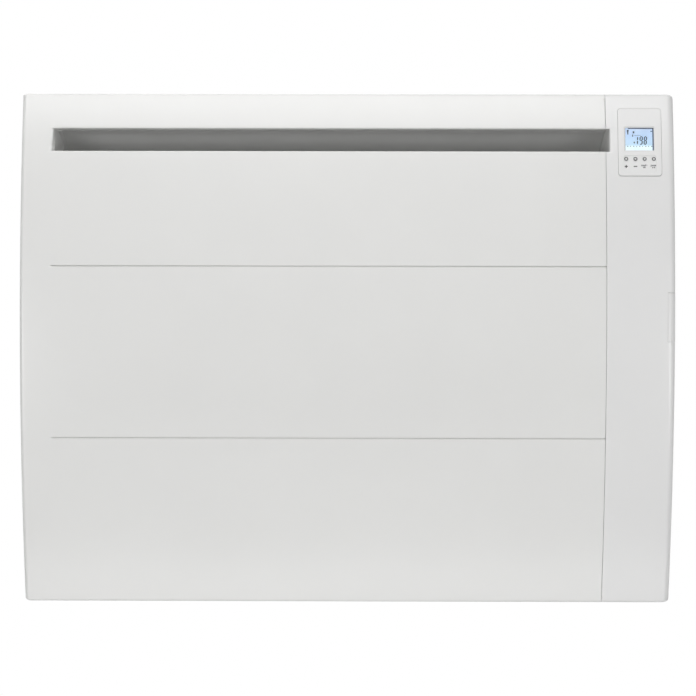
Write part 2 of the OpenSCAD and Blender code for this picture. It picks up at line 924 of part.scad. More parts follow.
module bracket_screws() {
    color(galvanised)
        for (p = bracket_screw_places) {
            pin_y(p[0], p[1], 2.8, -shield_y - bracket_t - 1.6, -shield_y - bracket_t);
            pin_y(p[0], p[1], 1.5, -shield_y - bracket_t - eps, -shield_y + thin_t + 3);
        }
}

module element_pins() {
    color([0.75, 0.72, 0.62])
        for (s = [-1, 1])
            pin_x(-element_y + s * pin_off, element_z, 0.9, rod_end_x, rod_end_x + pin_l);
}

module thermal_cutout() {
    r = cutout_d / 2;
    color([0.3, 0.28, 0.26]) {
        pin_x(-element_y, cutout_z, r, partition_x - 3, cutout_back_x);
        difference() {
            union() {
                pin_x(-element_y, cutout_z, r + 2, partition_x + sheet_t, partition_x + sheet_t + 1);
                span(partition_x + sheet_t, partition_x + sheet_t + 1, -element_y - 15,
                    -element_y + 15, cutout_z - 4, cutout_z + 4);
            }
            for (s = [-1, 1])
                pin_x(-element_y + s * cutout_screw_off, cutout_z, pilot_r, partition_x,
                    partition_x + sheet_t + 2);
        }
        for (s = [-1, 1])
            span(cutout_back_x - eps, cutout_back_x + tab_l, -element_y - 3, -element_y + 3,
                cutout_z + s * 4 - 0.4, cutout_z + s * 4 + 0.4);
    }
}

module cutout_screws() {
    color(galvanised)
        for (s = [-1, 1]) {
            y = -element_y + s * cutout_screw_off;
            pin_x(y, cutout_z, 2.6, partition_x + sheet_t + 1, partition_x + sheet_t + 2.6);
            pin_x(y, cutout_z, 1.5, partition_x - 3, partition_x + sheet_t + 1 + eps);
        }
}

module wire_grommet() {
    color(dark_plastic)
        difference() {
            union() {
                pin_x(-element_y, element_z, grommet_r - 0.1, partition_x - 2, partition_x + sheet_t + 2);
                pin_x(-element_y, element_z, grommet_r + 2, partition_x - 2, partition_x);
                pin_x(-element_y, element_z, grommet_r + 2, partition_x + sheet_t,
                    partition_x + sheet_t + 2);
            }
            pin_x(-element_y, element_z, grommet_r - 2.2, partition_x - 3, partition_x + sheet_t + 3);
        }
}

module element_lead() {
    y = -element_y - pin_off;
    color([0.8, 0.25, 0.2])
        wire([
            [rod_end_x + pin_l, y, element_z], [lead_x + 8, y, element_z],
            [lead_x + 8, y, relay_z + 14], [relay_x - 5, y, relay_z + 14],
            [relay_x - 5, power_board_y, relay_z + 14]
        ], lead_r, 5);
}

module cutout_lead() {
    y = -element_y + pin_off;
    color([0.2, 0.3, 0.7])
        wire([
            [rod_end_x + pin_l, y, element_z], [lead_x, y, element_z],
            [lead_x, y, cutout_z - 14], [tab_x, y - 2, cutout_z - 4.4 - lead_r]
        ], lead_r, 4);
}

module return_lead() {
    z = cutout_z + 18;
    color([0.2, 0.3, 0.7])
        wire([
            [tab_x, -element_y, cutout_z + 4.4 + lead_r], [tab_x, -element_y, z],
            [relay_x - 8, -element_y, z], [relay_x - 8, power_board_y, z]
        ], lead_r, 5);
}

module control_bezel() {
    color([0.93, 0.93, 0.92])
        bezel_frame()
            difference() {
                union() {
                    round_plate(bezel_w, bezel_h, bezel_r, -bezel_rise, bezel_t);
                    difference() {
                        round_plate(bezel_w + 4, bezel_h + 4, bezel_r + 2, cover_t + 0.5, cover_t + 2);
                        round_plate(bezel_w - 6, bezel_h - 6, 2, cover_t, cover_t + 3);
                    }
                    for (p = post_places)
                        pin_y(p[0], p[1], 2.4, bezel_t - eps, board_front);
                }
                translate([0, 0, window_up]) {
                    span(-window_w / 2, window_w / 2, -2, bezel_t + 1, -window_h / 2, window_h / 2);
                    span(-pocket_w / 2, pocket_w / 2, bezel_t - window_t - 0.1, cover_t + 3,
                        -pocket_h / 2, pocket_h / 2);
                }
                translate([0, 0, -key_recess_down])
                    round_plate(key_recess_w, key_recess_h, 2, -2, key_recess_d - bezel_rise);
                for (x = key_xs)
                    pin_y(x, key_z, key_d / 2 + running, -2, bezel_t + 1);
                for (p = post_places)
                    pin_y(p[0], p[1], 0.95, board_front - 6, board_front + 1);
            }
}

// A centred slab that fills the window's pocket, less a small gap
module window_slab(y0, y1) {
    bezel_frame()
        span(-pocket_w / 2 + 0.2, pocket_w / 2 - 0.2, y0, y1,
            window_up - pocket_h / 2 + 0.2, window_up + pocket_h / 2 - 0.2);
}

module lcd_window() {
    color([0.85, 0.92, 0.97, 0.5])
        window_slab(bezel_t - window_t - 0.1, bezel_t - 0.1);
}

module lcd_cell() {
    color([0.7, 0.84, 0.95])
        window_slab(bezel_t, bezel_t + lcd_t);
}

module lcd_backlight() {
    color([0.75, 0.88, 1])
        window_slab(bezel_t + lcd_t, bezel_t + lcd_t + light_t);
}

module lcd_holder() {
    color(dark_plastic)
        difference() {
            window_slab(bezel_t + lcd_t + light_t, board_front);
            bezel_frame()
                span(-window_w / 2 + 1, window_w / 2 - 1, bezel_t + 4, board_front + 1,
                    window_up - window_h / 2 + 1, window_up + window_h / 2 - 1);
        }
}

module display_board() {
    color([0.1, 0.4, 0.2])
        bezel_frame()
            difference() {
                span(-display_board_w / 2, display_board_w / 2, board_front, board_front + board_t,
                    2.4 - bezel_h / 2, bezel_h / 2 - 2.4);
                for (p = post_places)
                    pin_y(p[0], p[1], 1.2, board_front - 1, board_front + board_t + 1);
            }
}

module display_board_screws() {
    color(galvanised)
        bezel_frame()
            for (p = post_places) {
                pin_y(p[0], p[1], 2, board_front + board_t, board_front + board_t + 1.4);
                pin_y(p[0], p[1], 0.9, board_front - 5, board_front + board_t + eps);
            }
}

module key_switches() {
    color(dark_plastic)
        bezel_frame()
            for (x = key_xs)
                difference() {
                    span(x - switch_body / 2, x + switch_body / 2, board_front - switch_body_h,
                        board_front, key_z - switch_body / 2, key_z + switch_body / 2);
                    pin_y(x, key_z, plunger_r + running, board_front - switch_body_h - 1,
                        plunger_back + key_travel + 0.1);
                }
}

module key(i) {
    x = key_xs[i];
    back = bezel_t + 0.05;
    color([0.75, 0.76, 0.77])
        bezel_frame() {
            pin_y(x, key_z, key_d / 2, -bezel_rise, back + eps);
            pin_y(x, key_z, key_d / 2 + key_flange, back, back + 1);
            pin_y(x, key_z, plunger_r - 0.3, back + 1 - eps, plunger_front);
        }
}

module plunger(i) {
    color([0.9, 0.9, 0.88])
        bezel_frame()
            pin_y(key_xs[i], key_z, plunger_r, plunger_front, plunger_back);
}

module key_minus() { key(1); }
module key_plus() { key(0); }
module key_mode() { key(2); }
module key_set() { key(3); }
module plunger_minus() { plunger(1); }
module plunger_plus() { plunger(0); }
module plunger_mode() { plunger(2); }
module plunger_set() { plunger(3); }

module board_tray() {
    color([0.25, 0.25, 0.26])
        difference() {
            union() {
                span(tray_x0, tray_x1, back_in_y - tray_t, back_in_y, tray_z0, tray_z1);
                for (x = [tray_x0, tray_x1 - 1.5])
                    span(x, x + 1.5, back_in_y - 9, back_in_y, tray_z0, tray_z1);
                for (p = tray_post_places)
                    pin_y(p[0], p[1], 3.5, power_board_y + board_t, back_in_y - tray_t + eps);
            }
            for (p = tray_screw_places)
                pin_y(p[0], p[1], screw_r + 0.1, back_in_y - tray_t - 1, back_in_y + 1);
            for (p = tray_post_places)
                pin_y(p[0], p[1], 1.25, power_board_y, power_board_y + 9);
        }
}

// Two screws that hold the tray and four that hold the board on it
module board_tray_screws() {
    color(galvanised) {
        for (p = tray_screw_places) {
            pin_y(p[0], p[1], 3.4, back_in_y - tray_t - 1.8, back_in_y - tray_t);
            pin_y(p[0], p[1], screw_r, back_in_y - tray_t - eps, back_y + 3);
        }
        for (p = tray_post_places) {
            pin_y(p[0], p[1], 2.4, power_board_y - 1.5, power_board_y);
            pin_y(p[0], p[1], 1.2, power_board_y - eps, power_board_y + 8);
        }
    }
}

module power_board() {
    color([0.1, 0.4, 0.2])
        difference() {
            span(tray_x0 + 2, tray_x1 - 2, power_board_y, power_board_y + board_t,
                tray_z0 + 4, tray_z1 - 4);
            for (p = tray_post_places)
                pin_y(p[0], p[1], 1.6, power_board_y - 1, power_board_y + board_t + 1);
        }
}

// A block on the power board with its lower left corner at x and z
module on_board(x, z, size) {
    span(x, x + size[0], power_board_y - size[1], power_board_y, z, z + size[2]);
}

module power_relay() {
    color([0.15, 0.3, 0.6])
        on_board(relay_x, relay_z, relay_size);
}

module power_transformer() {
    color([0.75, 0.6, 0.2])
        on_board(tray_x0 + 8, transformer_z, transformer_size);
}

module capacitors() {
    color([0.15, 0.15, 0.3]) {
        for (i = [0, 1])
            pin_y(tray_x1 - capacitor_pitch - 2, transformer_z + capacitor_pitch * (1 - i),
                capacitor_sizes[i][0], power_board_y - capacitor_sizes[i][1], power_board_y);
        on_board(tray_x0 + capacitor_pitch, transformer_z - film_drop, film_size);
    }
}

module terminal_block() {
    color([0.2, 0.55, 0.3])
        difference() {
            on_board(block_x0, block_z0, [block_ways * block_pitch, block_side, block_side]);
            for (i = [0 : block_ways - 1]) {
                x = block_x0 + (i + 0.5) * block_pitch;
                pin_z(x, power_board_y - 6, 2, block_z0 - 1, block_z0 + 9);
                pin_y(x, block_z0 + block_side / 2, 2.6, power_board_y - block_side - 1,
                    power_board_y - 9);
            }
        }
}

module terminal_screws() {
    color(galvanised)
        for (i = [0 : block_ways - 1]) {
            x = block_x0 + (i + 0.5) * block_pitch;
            z = block_z0 + block_side / 2;
            difference() {
                pin_y(x, z, 2.4, power_board_y - 12.5, power_board_y - 9);
                span(x - 2.2, x + 2.2, power_board_y - 13, power_board_y - 11.8, z - 0.4, z + 0.4);
            }
        }
}

// The flat cable from the display board down to the power board
module display_ribbon() {
    top_z = bezel_z - bezel_h / 2 + 3.8;
    board_y = face_y(top_z) + board_front + board_t;
    y_top = board_y + 7;
    y_low = power_board_y;
    z_low = tray_z1 - 12;
    color([0.75, 0.75, 0.78])
        along_x(ribbon_x - ribbon_w / 2, ribbon_x + ribbon_w / 2) {
            translate([y_top, z_low + 5])
                square([ribbon_t, top_z - z_low - 5]);
            translate([y_top, z_low])
                square([y_low - y_top, ribbon_t]);
            translate([y_top, z_low])
                square([ribbon_t, 6]);
            translate([board_y, top_z - ribbon_t])
                square([y_top - board_y + ribbon_t, ribbon_t]);
        }
}

module switch_cutout() {
    span(plate_x - fit, x_right + 1, plate_front - 3, plate_back_y + fit, plate_z0 - fit,
        plate_z1 + fit);
}

// The insert in the right front edge that carries the on/off rocker
module side_switch_plate() {
    y0 = plate_front + 0.9;
    wall_x = x_right - cover_t - fit;
    color(plastic_white)
        difference() {
            union() {
                translate([0, 0, plate_z0])
                    linear_extrude(switch_plate_h)
                        polygon([
                            [plate_x, y0], [x_right - 6.2, y0 + 0.1], [x_right - 3.6, y0 + 1.1],
                            [x_right - 1.3, y0 + 3.2], [x_right - 0.1, y0 + 5.6],
                            [switch_out, y0 + 7.5], [switch_out, plate_back_y],
                            [switch_out - plate_t, plate_back_y], [switch_out - plate_t, y0 + 8.5],
                            [plate_x, y0 + plate_t + 0.8]
                        ]);
                span(wall_x - 2, wall_x, y0 + 10, plate_back_y + 3, plate_z0 - 3, plate_z1 + 3);
                span(wall_x - 1, switch_out - plate_t + eps, y0 + 10, plate_back_y, plate_z0,
                    plate_z1);
            }
            span(x_right - 10, x_right + 2, switch_y - switch_w / 2 - slip,
                switch_y + switch_w / 2 + slip, switch_z - switch_h / 2 - slip,
                switch_z + switch_h / 2 + slip);
        }
}

module switch_housing() {
    floor_x = pivot_x - 6.5;
    color(dark_plastic)
        difference() {
            union() {
                span(switch_out - housing_d, switch_out + eps, switch_y - switch_w / 2,
                    switch_y + switch_w / 2, switch_z - switch_h / 2, switch_z + switch_h / 2);
                span(switch_out, switch_out + 1.4, switch_y - switch_w / 2 - 1.3,
                    switch_y + switch_w / 2 + 1.3, switch_z - switch_h / 2 - 1.5,
                    switch_z + switch_h / 2 + 1.5);
                for (dz = [-tab_pitch, 0, tab_pitch])
                    span(switch_out - housing_d - tab_l, switch_out - housing_d + eps,
                        switch_y - 2.4, switch_y + 2.4, switch_z + dz - 0.4, switch_z + dz + 0.4);
            }
            span(floor_x, switch_out + 2, switch_y - rocker_w / 2 - slip,
                switch_y + rocker_w / 2 + slip, switch_z - rocker_h / 2 - 1,
                switch_z + rocker_h / 2 + 1);
            translate([pivot_x, 0, switch_z])
                pin_y(0, 0, pivot_r + 0.08, switch_y - rocker_w / 2 - 1.2,
                    switch_y + rocker_w / 2 + 1.2);
        }
}

// The rocker, drawn with its upper half pressed in
module switch_rocker() {
    half = rocker_h / 2;
    crown = 4.6;
    rise = half * tan(rocker_swing / 2);
    color([0.12, 0.12, 0.13])
        translate([pivot_x, 0, switch_z])
            rotate([0, -rocker_swing / 2, 0]) {
                along_y(switch_y + rocker_w / 2, switch_y - rocker_w / 2)
                    polygon([
                        [crown, 0], [crown + rise, half], [crown + rise - 2, half + 0.2],
                        [-1.5, half - 1], [-3.5, 3], [-3.5, -3], [-1.5, -half + 1],
                        [crown + rise - 2, -half - 0.2], [crown + rise, -half]
                    ]);
                pin_y(0, 0, pivot_r, switch_y - rocker_w / 2 - 1, switch_y + rocker_w / 2 + 1);
            }
}

// Two leads from the rocker's tabs down to the board
module switch_leads() {
    x = switch_out - housing_d - 5;
    color([0.15, 0.15, 0.16])
        for (k = [0, 1]) {
            z = switch_z - tab_pitch * k - 0.4 - lead_r;
            y = switch_y + (k == 0 ? 1 : -1) * 1.2;
            wire([
                [x - 0.5 - 3.5 * (1 - k), y, z], [x - 3 - 4 * (1 - k), y, z - 3],
                [x - 3 - 4 * (1 - k), y, tray_z1 - 24 - 6 * k],
                [x - 3 - 4 * (1 - k), power_board_y, tray_z1 - 24 - 6 * k]
            ], lead_r, 1.5);
        }
}

module cable_gland() {
    color(dark_plastic)
        difference() {
            union() {
                pin_y(gland_x, gland_z, gland_r, back_in_y - gland_inside, back_y + eps);
                pin_y(gland_x, gland_z, gland_r + 3, back_y, back_y + 4);
                pin_y(gland_x, gland_z, gland_r + 1, back_y + 4 - eps, back_y + gland_outside);
            }
            pin_y(gland_x, gland_z, gland_bore_r, back_in_y - gland_inside - 1,
                back_y + gland_outside + 1);
        }
}

module gland_nut() {
    color(dark_plastic)
        translate([gland_x, back_in_y, gland_z])
            rotate([90, 0, 0])
                difference() {
                    cylinder(r = gland_r + 4, h = 5, $fn = 6);
                    translate([0, 0, -1])
                        cylinder(r = gland_r + 0.05, h = 7);
                }
}

module sensor_clip() {
    color(dark_plastic)
        difference() {
            span(sensor_x - 4, sensor_x + 4, sensor_y - 4, sensor_y + 4, z_bottom + cover_t,
                sensor_z + 4);
            pin_x(sensor_y, sensor_z, sensor_r + running, sensor_x - 5, sensor_x + 5);
        }
}

module room_sensor() {
    color([0.1, 0.1, 0.1])
        pin_x(sensor_y, sensor_z, sensor_r, sensor_x - 8, sensor_x + 4.5);
}

module sensor_lead() {
    color([0.85, 0.85, 0.83])
        wire([
            [sensor_x + 4.5, sensor_y, sensor_z], [sensor_x + 12, sensor_y, sensor_z],
            [sensor_x + 12, sensor_y, tray_z0 + 26], [sensor_x + 12, power_board_y, tray_z0 + 26]
        ], sensor_lead_r, 4);
}

upper_wall_rail();
lower_wall_rail();
front_panel();
back_panel();
air_deflector();
deflector_end_plate();
outlet_end_wall();
inlet_grille();
heat_shield();
control_partition();
control_cover();
casing_screws();
cover_screws();
element_fins();
element_rod();
element_bushes();
element_pins();
element_brackets();
bracket_screws();
thermal_cutout();
cutout_screws();
wire_grommet();
element_lead();
cutout_lead();
return_lead();
control_bezel();
lcd_window();
lcd_cell();
lcd_backlight();
lcd_holder();
display_board();
display_board_screws();
key_switches();
key_minus();
key_plus();
key_mode();
key_set();
plunger_minus();
plunger_plus();
plunger_mode();
plunger_set();
board_tray();
board_tray_screws();
power_board();
power_relay();
power_transformer();
capacitors();
terminal_block();
terminal_screws();
display_ribbon();
side_switch_plate();
switch_housing();
switch_rocker();
switch_leads();
cable_gland();
gland_nut();
room_sensor();
sensor_clip();
sensor_lead();
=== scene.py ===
import json
import math

import bmesh
import bpy
from mathutils import Matrix, Vector


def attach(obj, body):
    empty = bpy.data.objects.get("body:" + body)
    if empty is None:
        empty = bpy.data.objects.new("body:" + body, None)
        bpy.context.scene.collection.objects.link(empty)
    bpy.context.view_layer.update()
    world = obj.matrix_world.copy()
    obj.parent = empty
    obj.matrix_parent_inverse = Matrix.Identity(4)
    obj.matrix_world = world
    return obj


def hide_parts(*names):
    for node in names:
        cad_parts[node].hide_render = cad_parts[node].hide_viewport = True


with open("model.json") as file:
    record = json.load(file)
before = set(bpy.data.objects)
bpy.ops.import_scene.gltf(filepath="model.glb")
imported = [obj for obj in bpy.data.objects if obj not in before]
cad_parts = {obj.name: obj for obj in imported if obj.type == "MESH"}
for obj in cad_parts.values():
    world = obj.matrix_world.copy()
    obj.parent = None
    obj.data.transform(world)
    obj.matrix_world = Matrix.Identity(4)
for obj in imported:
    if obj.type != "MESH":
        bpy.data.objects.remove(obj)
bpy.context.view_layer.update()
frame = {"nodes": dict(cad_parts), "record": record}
NODES = frame["nodes"]

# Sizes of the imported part, in millimetres
MM = 0.001
FACE_R = 1750.0
FACE_AXIS_Y = 1642.0
CREST_Z = 53.0
HALF_W = 370.0
TOP = 290.0
BACK = -18.0
SEAM = 291.5
COVER_X = 291.9
PANEL_EDGE_R = 5.0
COVER_EDGE_R = 8.0
FOLD_R = 2.5
PANEL_T = 1.2
COVER_T = 2.5
SLOT_X0, SLOT_X1 = -334.0, 296.5
SLOT_Z0, SLOT_Z1 = 224.0, 250.0
SWITCH_Z0, SWITCH_Z1 = 8.7, 64.3
GROOVES = (93.0, -101.0)
# A groove's height above its line and its depth: a narrow deep fold above a slope
# that catches the light
GROOVE = ((-1.7, 0.0), (-1.3, 0.25), (0.1, 1.15), (0.2, 3.0), (0.75, 3.0), (0.85, 0.0))
BEZEL_X, BEZEL_Z = 330.05, 234.8
BEZEL_W, BEZEL_H, BEZEL_R = 48.8, 77.6, 3.4
BEZEL_RISE = 0.5
BEZEL_T = 3.0
WINDOW_W, WINDOW_H, WINDOW_UP = 32.5, 26.3, 3.7
RECESS_W, RECESS_H, RECESS_D, RECESS_DOWN = 36.4, 19.4, 0.8, 25.2
KEY_D, KEY_PITCH, KEY_DOWN = 4.6, 10.4, 19.4
KEYS = ("plus", "minus", "mode", "set")


def bow(z):
    """Y of the bowed face at a height."""
    return FACE_AXIS_Y - math.sqrt(FACE_R ** 2 - (z - CREST_Z) ** 2)


# Camera, fitted to the photograph's edges
CAM_POS = Vector((0.00799, -1.76064, -0.00004))
CAM_YAW, CAM_PITCH, CAM_ROLL = (math.radians(a) for a in (-0.251, 0.045, 0.121))
LENS = 75.98


def make_camera():
    data = bpy.data.cameras.new("camera")
    data.sensor_width = 36.0
    data.lens = LENS
    cam = bpy.data.objects.new("camera", data)
    forward = Vector((math.sin(CAM_YAW) * math.cos(CAM_PITCH),
                      math.cos(CAM_YAW) * math.cos(CAM_PITCH), math.sin(CAM_PITCH)))
    right = Vector((math.cos(CAM_YAW), -math.sin(CAM_YAW), 0))
    up = right.cross(forward)
    right, up = (math.cos(CAM_ROLL) * right + math.sin(CAM_ROLL) * up,
                 -math.sin(CAM_ROLL) * right + math.cos(CAM_ROLL) * up)
    turn = Matrix((right, up, -forward)).transposed()
    cam.matrix_world = Matrix.Translation(CAM_POS) @ turn.to_4x4()
    bpy.context.scene.collection.objects.link(cam)
    bpy.context.scene.camera = cam


# Materials

class Nodes:
    """Short names for building one node material."""

    def __init__(self, name):
        self.mat = bpy.data.materials.new(name)
        self.mat.use_nodes = True
        self.tree = self.mat.node_tree
        self.bsdf = self.tree.nodes["Principled BSDF"]
        self.coord = self.add("ShaderNodeTexCoord").outputs["Object"]

    def add(self, kind, **settings):
        node = self.tree.nodes.new(kind)
        for key, value in settings.items():
            setattr(node, key, value)
        return node

    def link(self, a, b):
        self.tree.links.new(a, b)

    def stretched(self, scale):
        node = self.add("ShaderNodeMapping")
        node.inputs["Scale"].default_value = scale
        self.link(self.coord, node.inputs["Vector"])
        return node.outputs["Vector"]

    def noise(self, scale, detail=2.0, rough=0.5, stretch=None):
        node = self.add("ShaderNodeTexNoise")
        node.inputs["Scale"].default_value = scale
        node.inputs["Detail"].default_value = detail
        node.inputs["Roughness"].default_value = rough
        self.link(self.stretched(stretch) if stretch else self.coord, node.inputs["Vector"])
        return node.outputs["Fac"]

    def cells(self, scale, stretch=None, feature="F1", output="Color"):
        node = self.add("ShaderNodeTexVoronoi", feature=feature)
        node.inputs["Scale"].default_value = scale
        self.link(self.stretched(stretch) if stretch else self.coord, node.inputs["Vector"])
        return node.outputs[output]

    def ramp(self, source, stops, constant=False):
        node = self.add("ShaderNodeValToRGB")
        node.color_ramp.interpolation = "CONSTANT" if constant else "LINEAR"
        elements = node.color_ramp.elements
        while len(elements) < len(stops):
            elements.new(0.5)
        for element, (place, colour) in zip(elements, stops):
            element.position = place
            element.color = (*colour, 1) if len(colour) == 3 else colour
        self.link(source, node.inputs["Fac"])
        return node.outputs["Color"]

    def spread(self, source, low, high):
        node = self.add("ShaderNodeMapRange")
        node.inputs["From Min"].default_value = 0.3
        node.inputs["From Max"].default_value = 0.7
        node.inputs["To Min"].default_value = low
        node.inputs["To Max"].default_value = high
        self.link(source, node.inputs["Value"])
        return node.outputs["Result"]

    def bump(self, source, height):
        node = self.add("ShaderNodeBump")
        node.inputs["Strength"].default_value = 1.0
        node.inputs["Distance"].default_value = height
        self.link(source, node.inputs["Height"])
        self.link(node.outputs["Normal"], self.bsdf.inputs["Normal"])

    def mix(self, fac, a, b):
        node = self.add("ShaderNodeMix", data_type="RGBA")
        for source, socket in ((fac, "Factor"), (a, "A"), (b, "B")):
            target = [s for s in node.inputs if s.name == socket and s.enabled][0]
            if isinstance(source, float):
                target.default_value = source
            elif isinstance(source, tuple):
                target.default_value = (*source, 1)
            else:
                self.link(source, target)
        return [s for s in node.outputs if s.enabled][0]

    def set(self, **values):
        for key, value in values.items():
            self.bsdf.inputs[key.replace("_", " ")].default_value = value

    def colour(self, source):
        self.link(source, self.bsdf.inputs["Base Color"])

    def roughness(self, source):
        self.link(source, self.bsdf.inputs["Roughness"])


def tint(colour, by):
    return tuple(min(1.0, c * by) for c in colour)


def paint(name, colour, rough=0.22, peel=2.0e-6):
    """Powder coat: soft orange peel, faint cloudiness and slightly uneven gloss."""
    m = Nodes(name)
    cloud = m.noise(9, 3)
    m.colour(m.ramp(cloud, [(0.35, tint(colour, 0.988)), (0.65, colour)]))
    m.roughness(m.spread(m.noise(60, 3), rough - 0.02, rough + 0.03))
    m.bump(m.noise(520, 1, 0.4), peel)
    m.set(Specular_IOR_Level=0.75)
    return m.mat


def moulded(name, colour, rough=0.4, grain=3.0e-6, scale=1500, vary=0.06):
    """Moulded plastic with a fine eroded grain."""
    m = Nodes(name)
    m.colour(m.ramp(m.noise(40, 4),
                    [(0.3, tint(colour, 1 - vary)), (0.7, tint(colour, 1 + vary / 2))]))
    m.roughness(m.spread(m.noise(scale / 4, 2), rough - 0.04, rough + 0.05))
    m.bump(m.noise(scale, 2), grain)
    return m.mat


def zinc_sheet(name, colour=(0.62, 0.63, 0.64)):
    """Hot dipped zinc: crystals of uneven grey with fine rolling lines."""
    m = Nodes(name)
    crystals = m.ramp(m.cells(95), [(0.0, tint(colour, 0.8)), (1.0, tint(colour, 1.15))])
    lines = m.ramp(m.noise(260, 3, 0.6, (1, 1, 0.04)),
                   [(0.3, tint(colour, 0.85)), (0.7, tint(colour, 1.1))])
    m.colour(m.mix(0.45, crystals, lines))
    m.roughness(m.spread(m.cells(95, output="Distance"), 0.34, 0.5))
    m.bump(m.cells(95, output="Distance"), 4e-6)
    m.set(Metallic=1.0)
    return m.mat


def brushed(name, colour, along=(0.03, 1, 1), rough=0.32, scale=900):
    """Metal with fine lines along one direction."""
    m = Nodes(name)
    lines = m.noise(scale, 3, 0.6, along)
    m.colour(m.ramp(lines, [(0.3, tint(colour, 0.86)), (0.7, tint(colour, 1.08))]))
    m.roughness(m.spread(lines, rough - 0.07, rough + 0.1))
    m.bump(lines, 3e-6)
    m.set(Metallic=1.0)
    return m.mat


def wire_skin(name, colour):
    m = Nodes(name)
    m.colour(m.ramp(m.noise(300, 3), [(0.3, tint(colour, 0.85)), (0.7, tint(colour, 1.1))]))
    m.roughness(m.spread(m.noise(700, 2), 0.38, 0.52))
    m.bump(m.noise(2500, 2), 4e-6)
    return m.mat


def circuit_board(name):
    """Green lacquer over copper tracks, with bright pads."""
    m = Nodes(name)
    track, lacquer = (0.09, 0.36, 0.17), (0.03, 0.2, 0.09)
    tracks = m.ramp(m.cells(330, feature="DISTANCE_TO_EDGE", output="Distance"),
                    [(0.0, track), (0.09, track), (0.12, lacquer)])
    pads = m.ramp(m.cells(420, output="Distance"),
                  [(0.0, (1, 1, 1)), (0.13, (1, 1, 1)), (0.16, (0, 0, 0))])
    m.colour(m.mix(pads, tracks, (0.72, 0.72, 0.68)))
    m.roughness(m.spread(m.noise(200, 2), 0.25, 0.4))
    m.bump(tracks, 2e-5)
    return m.mat


def glass(name):
    m = Nodes(name)
    m.colour(m.ramp(m.noise(30, 2), [(0.3, (0.97, 0.985, 0.99)), (0.7, (1, 1, 1))]))
    m.roughness(m.spread(m.noise(200, 2), 0.01, 0.04))
    m.set(Transmission_Weight=1.0, IOR=1.3)
    return m.mat


def lit_display(name):
    """The lit cell: lavender blue above, nearly white along its lower edge."""
    m = Nodes(name)
    parts = m.add("ShaderNodeSeparateXYZ")
    m.link(m.coord, parts.inputs["Vector"])
    rise = m.add("ShaderNodeMapRange")
    rise.inputs["From Min"].default_value = (BEZEL_Z - 10) * MM
    rise.inputs["From Max"].default_value = (BEZEL_Z + 17) * MM
    m.link(parts.outputs["Z"], rise.inputs["Value"])
    glow = m.ramp(rise.outputs["Result"], [
        (0.0, (0.86, 0.97, 0.98)), (0.19, (0.82, 0.97, 1.0)), (0.27, (0.37, 0.58, 0.76)),
        (0.62, (0.33, 0.5, 0.76)), (1.0, (0.46, 0.56, 0.8))])
    cloud = m.ramp(m.noise(110, 2), [(0.35, (0.9, 0.93, 0.96)), (0.65, (1, 1, 1))])
    shade = m.add("ShaderNodeMix", data_type="RGBA", blend_type="MULTIPLY")
    shade.inputs[0].default_value = 1.0
    m.link(glow, shade.inputs[6])
    m.link(cloud, shade.inputs[7])
    m.link(shade.outputs[2], m.bsdf.inputs["Emission Color"])
    m.colour(m.ramp(m.noise(90, 2), [(0.3, (0.25, 0.3, 0.34)), (0.7, (0.3, 0.35, 0.4))]))
    m.set(Emission_Strength=0.72, Roughness=0.3)
    return m.mat


WHITE = (0.9, 0.9, 0.885)
PLASTIC_WHITE = (0.895, 0.895, 0.89)
MATERIALS = {
    "painted_steel": lambda n: paint(n, WHITE),
    "white_plastic": lambda n: paint(n, PLASTIC_WHITE, 0.24, 1.4e-6),
    "galvanised_steel": zinc_sheet,
    "zinc_screws": lambda n: brushed(n, (0.7, 0.69, 0.64), (1, 1, 1), 0.3, 500),
    "bright_aluminium": lambda n: brushed(n, (0.8, 0.81, 0.82)),
    "element_steel": lambda n: brushed(n, (0.4, 0.36, 0.32), (0.05, 1, 1), 0.38, 700),
    "ceramic": lambda n: moulded(n, (0.86, 0.83, 0.77), 0.5, 4e-6, 900),
    "phenolic": lambda n: moulded(n, (0.1, 0.065, 0.045), 0.45, 4e-6, 1200, 0.2),
    "black_rubber": lambda n: moulded(n, (0.03, 0.03, 0.03), 0.6, 5e-6, 1400, 0.1),
    "red_wire": lambda n: wire_skin(n, (0.5, 0.05, 0.04)),
    "blue_wire": lambda n: wire_skin(n, (0.05, 0.12, 0.45)),
    "black_wire": lambda n: wire_skin(n, (0.03, 0.03, 0.032)),
    "clear_window": glass,
    "lcd_face": lit_display,
    "lcd_light": lambda n: moulded(n, (0.85, 0.9, 0.95), 0.35, 2e-6, 800, 0.04),
    "dark_plastic": lambda n: moulded(n, (0.035, 0.036, 0.038), 0.42, 4e-6, 1500, 0.15),
    "rocker_black": lambda n: moulded(n, (0.02, 0.02, 0.022), 0.22, 1.5e-6, 900, 0.1),
    "key_grey": lambda n: moulded(n, (0.78, 0.78, 0.77), 0.35, 2e-6, 1500, 0.03),
    "plunger_white": lambda n: moulded(n, (0.75, 0.75, 0.72), 0.45, 3e-6),
    "circuit_board": circuit_board,
    "relay_blue": lambda n: moulded(n, (0.05, 0.14, 0.36), 0.35),
    "transformer_yellow": lambda n: moulded(n, (0.6, 0.42, 0.06), 0.4, 8e-6, 500, 0.1),
    "capacitor_black": lambda n: moulded(n, (0.04, 0.04, 0.07), 0.3),
    "terminal_green": lambda n: moulded(n, (0.06, 0.28, 0.11), 0.4),
    "ribbon_grey": lambda n: brushed(n, (0.5, 0.5, 0.53), (1, 1, 0.02), 0.5, 500),
}


def dress_nodes():
    made = {slot: recipe(slot) for slot, recipe in MATERIALS.items()}
    for row in frame["record"]["subparts"]:
        mesh = NODES[row["node"]].data
        mesh.materials.clear()
        mesh.materials.append(made[row["material_slot"]])
    return made


# Sheet pieces, drawn in millimetres

BEVEL_MM = 4.0


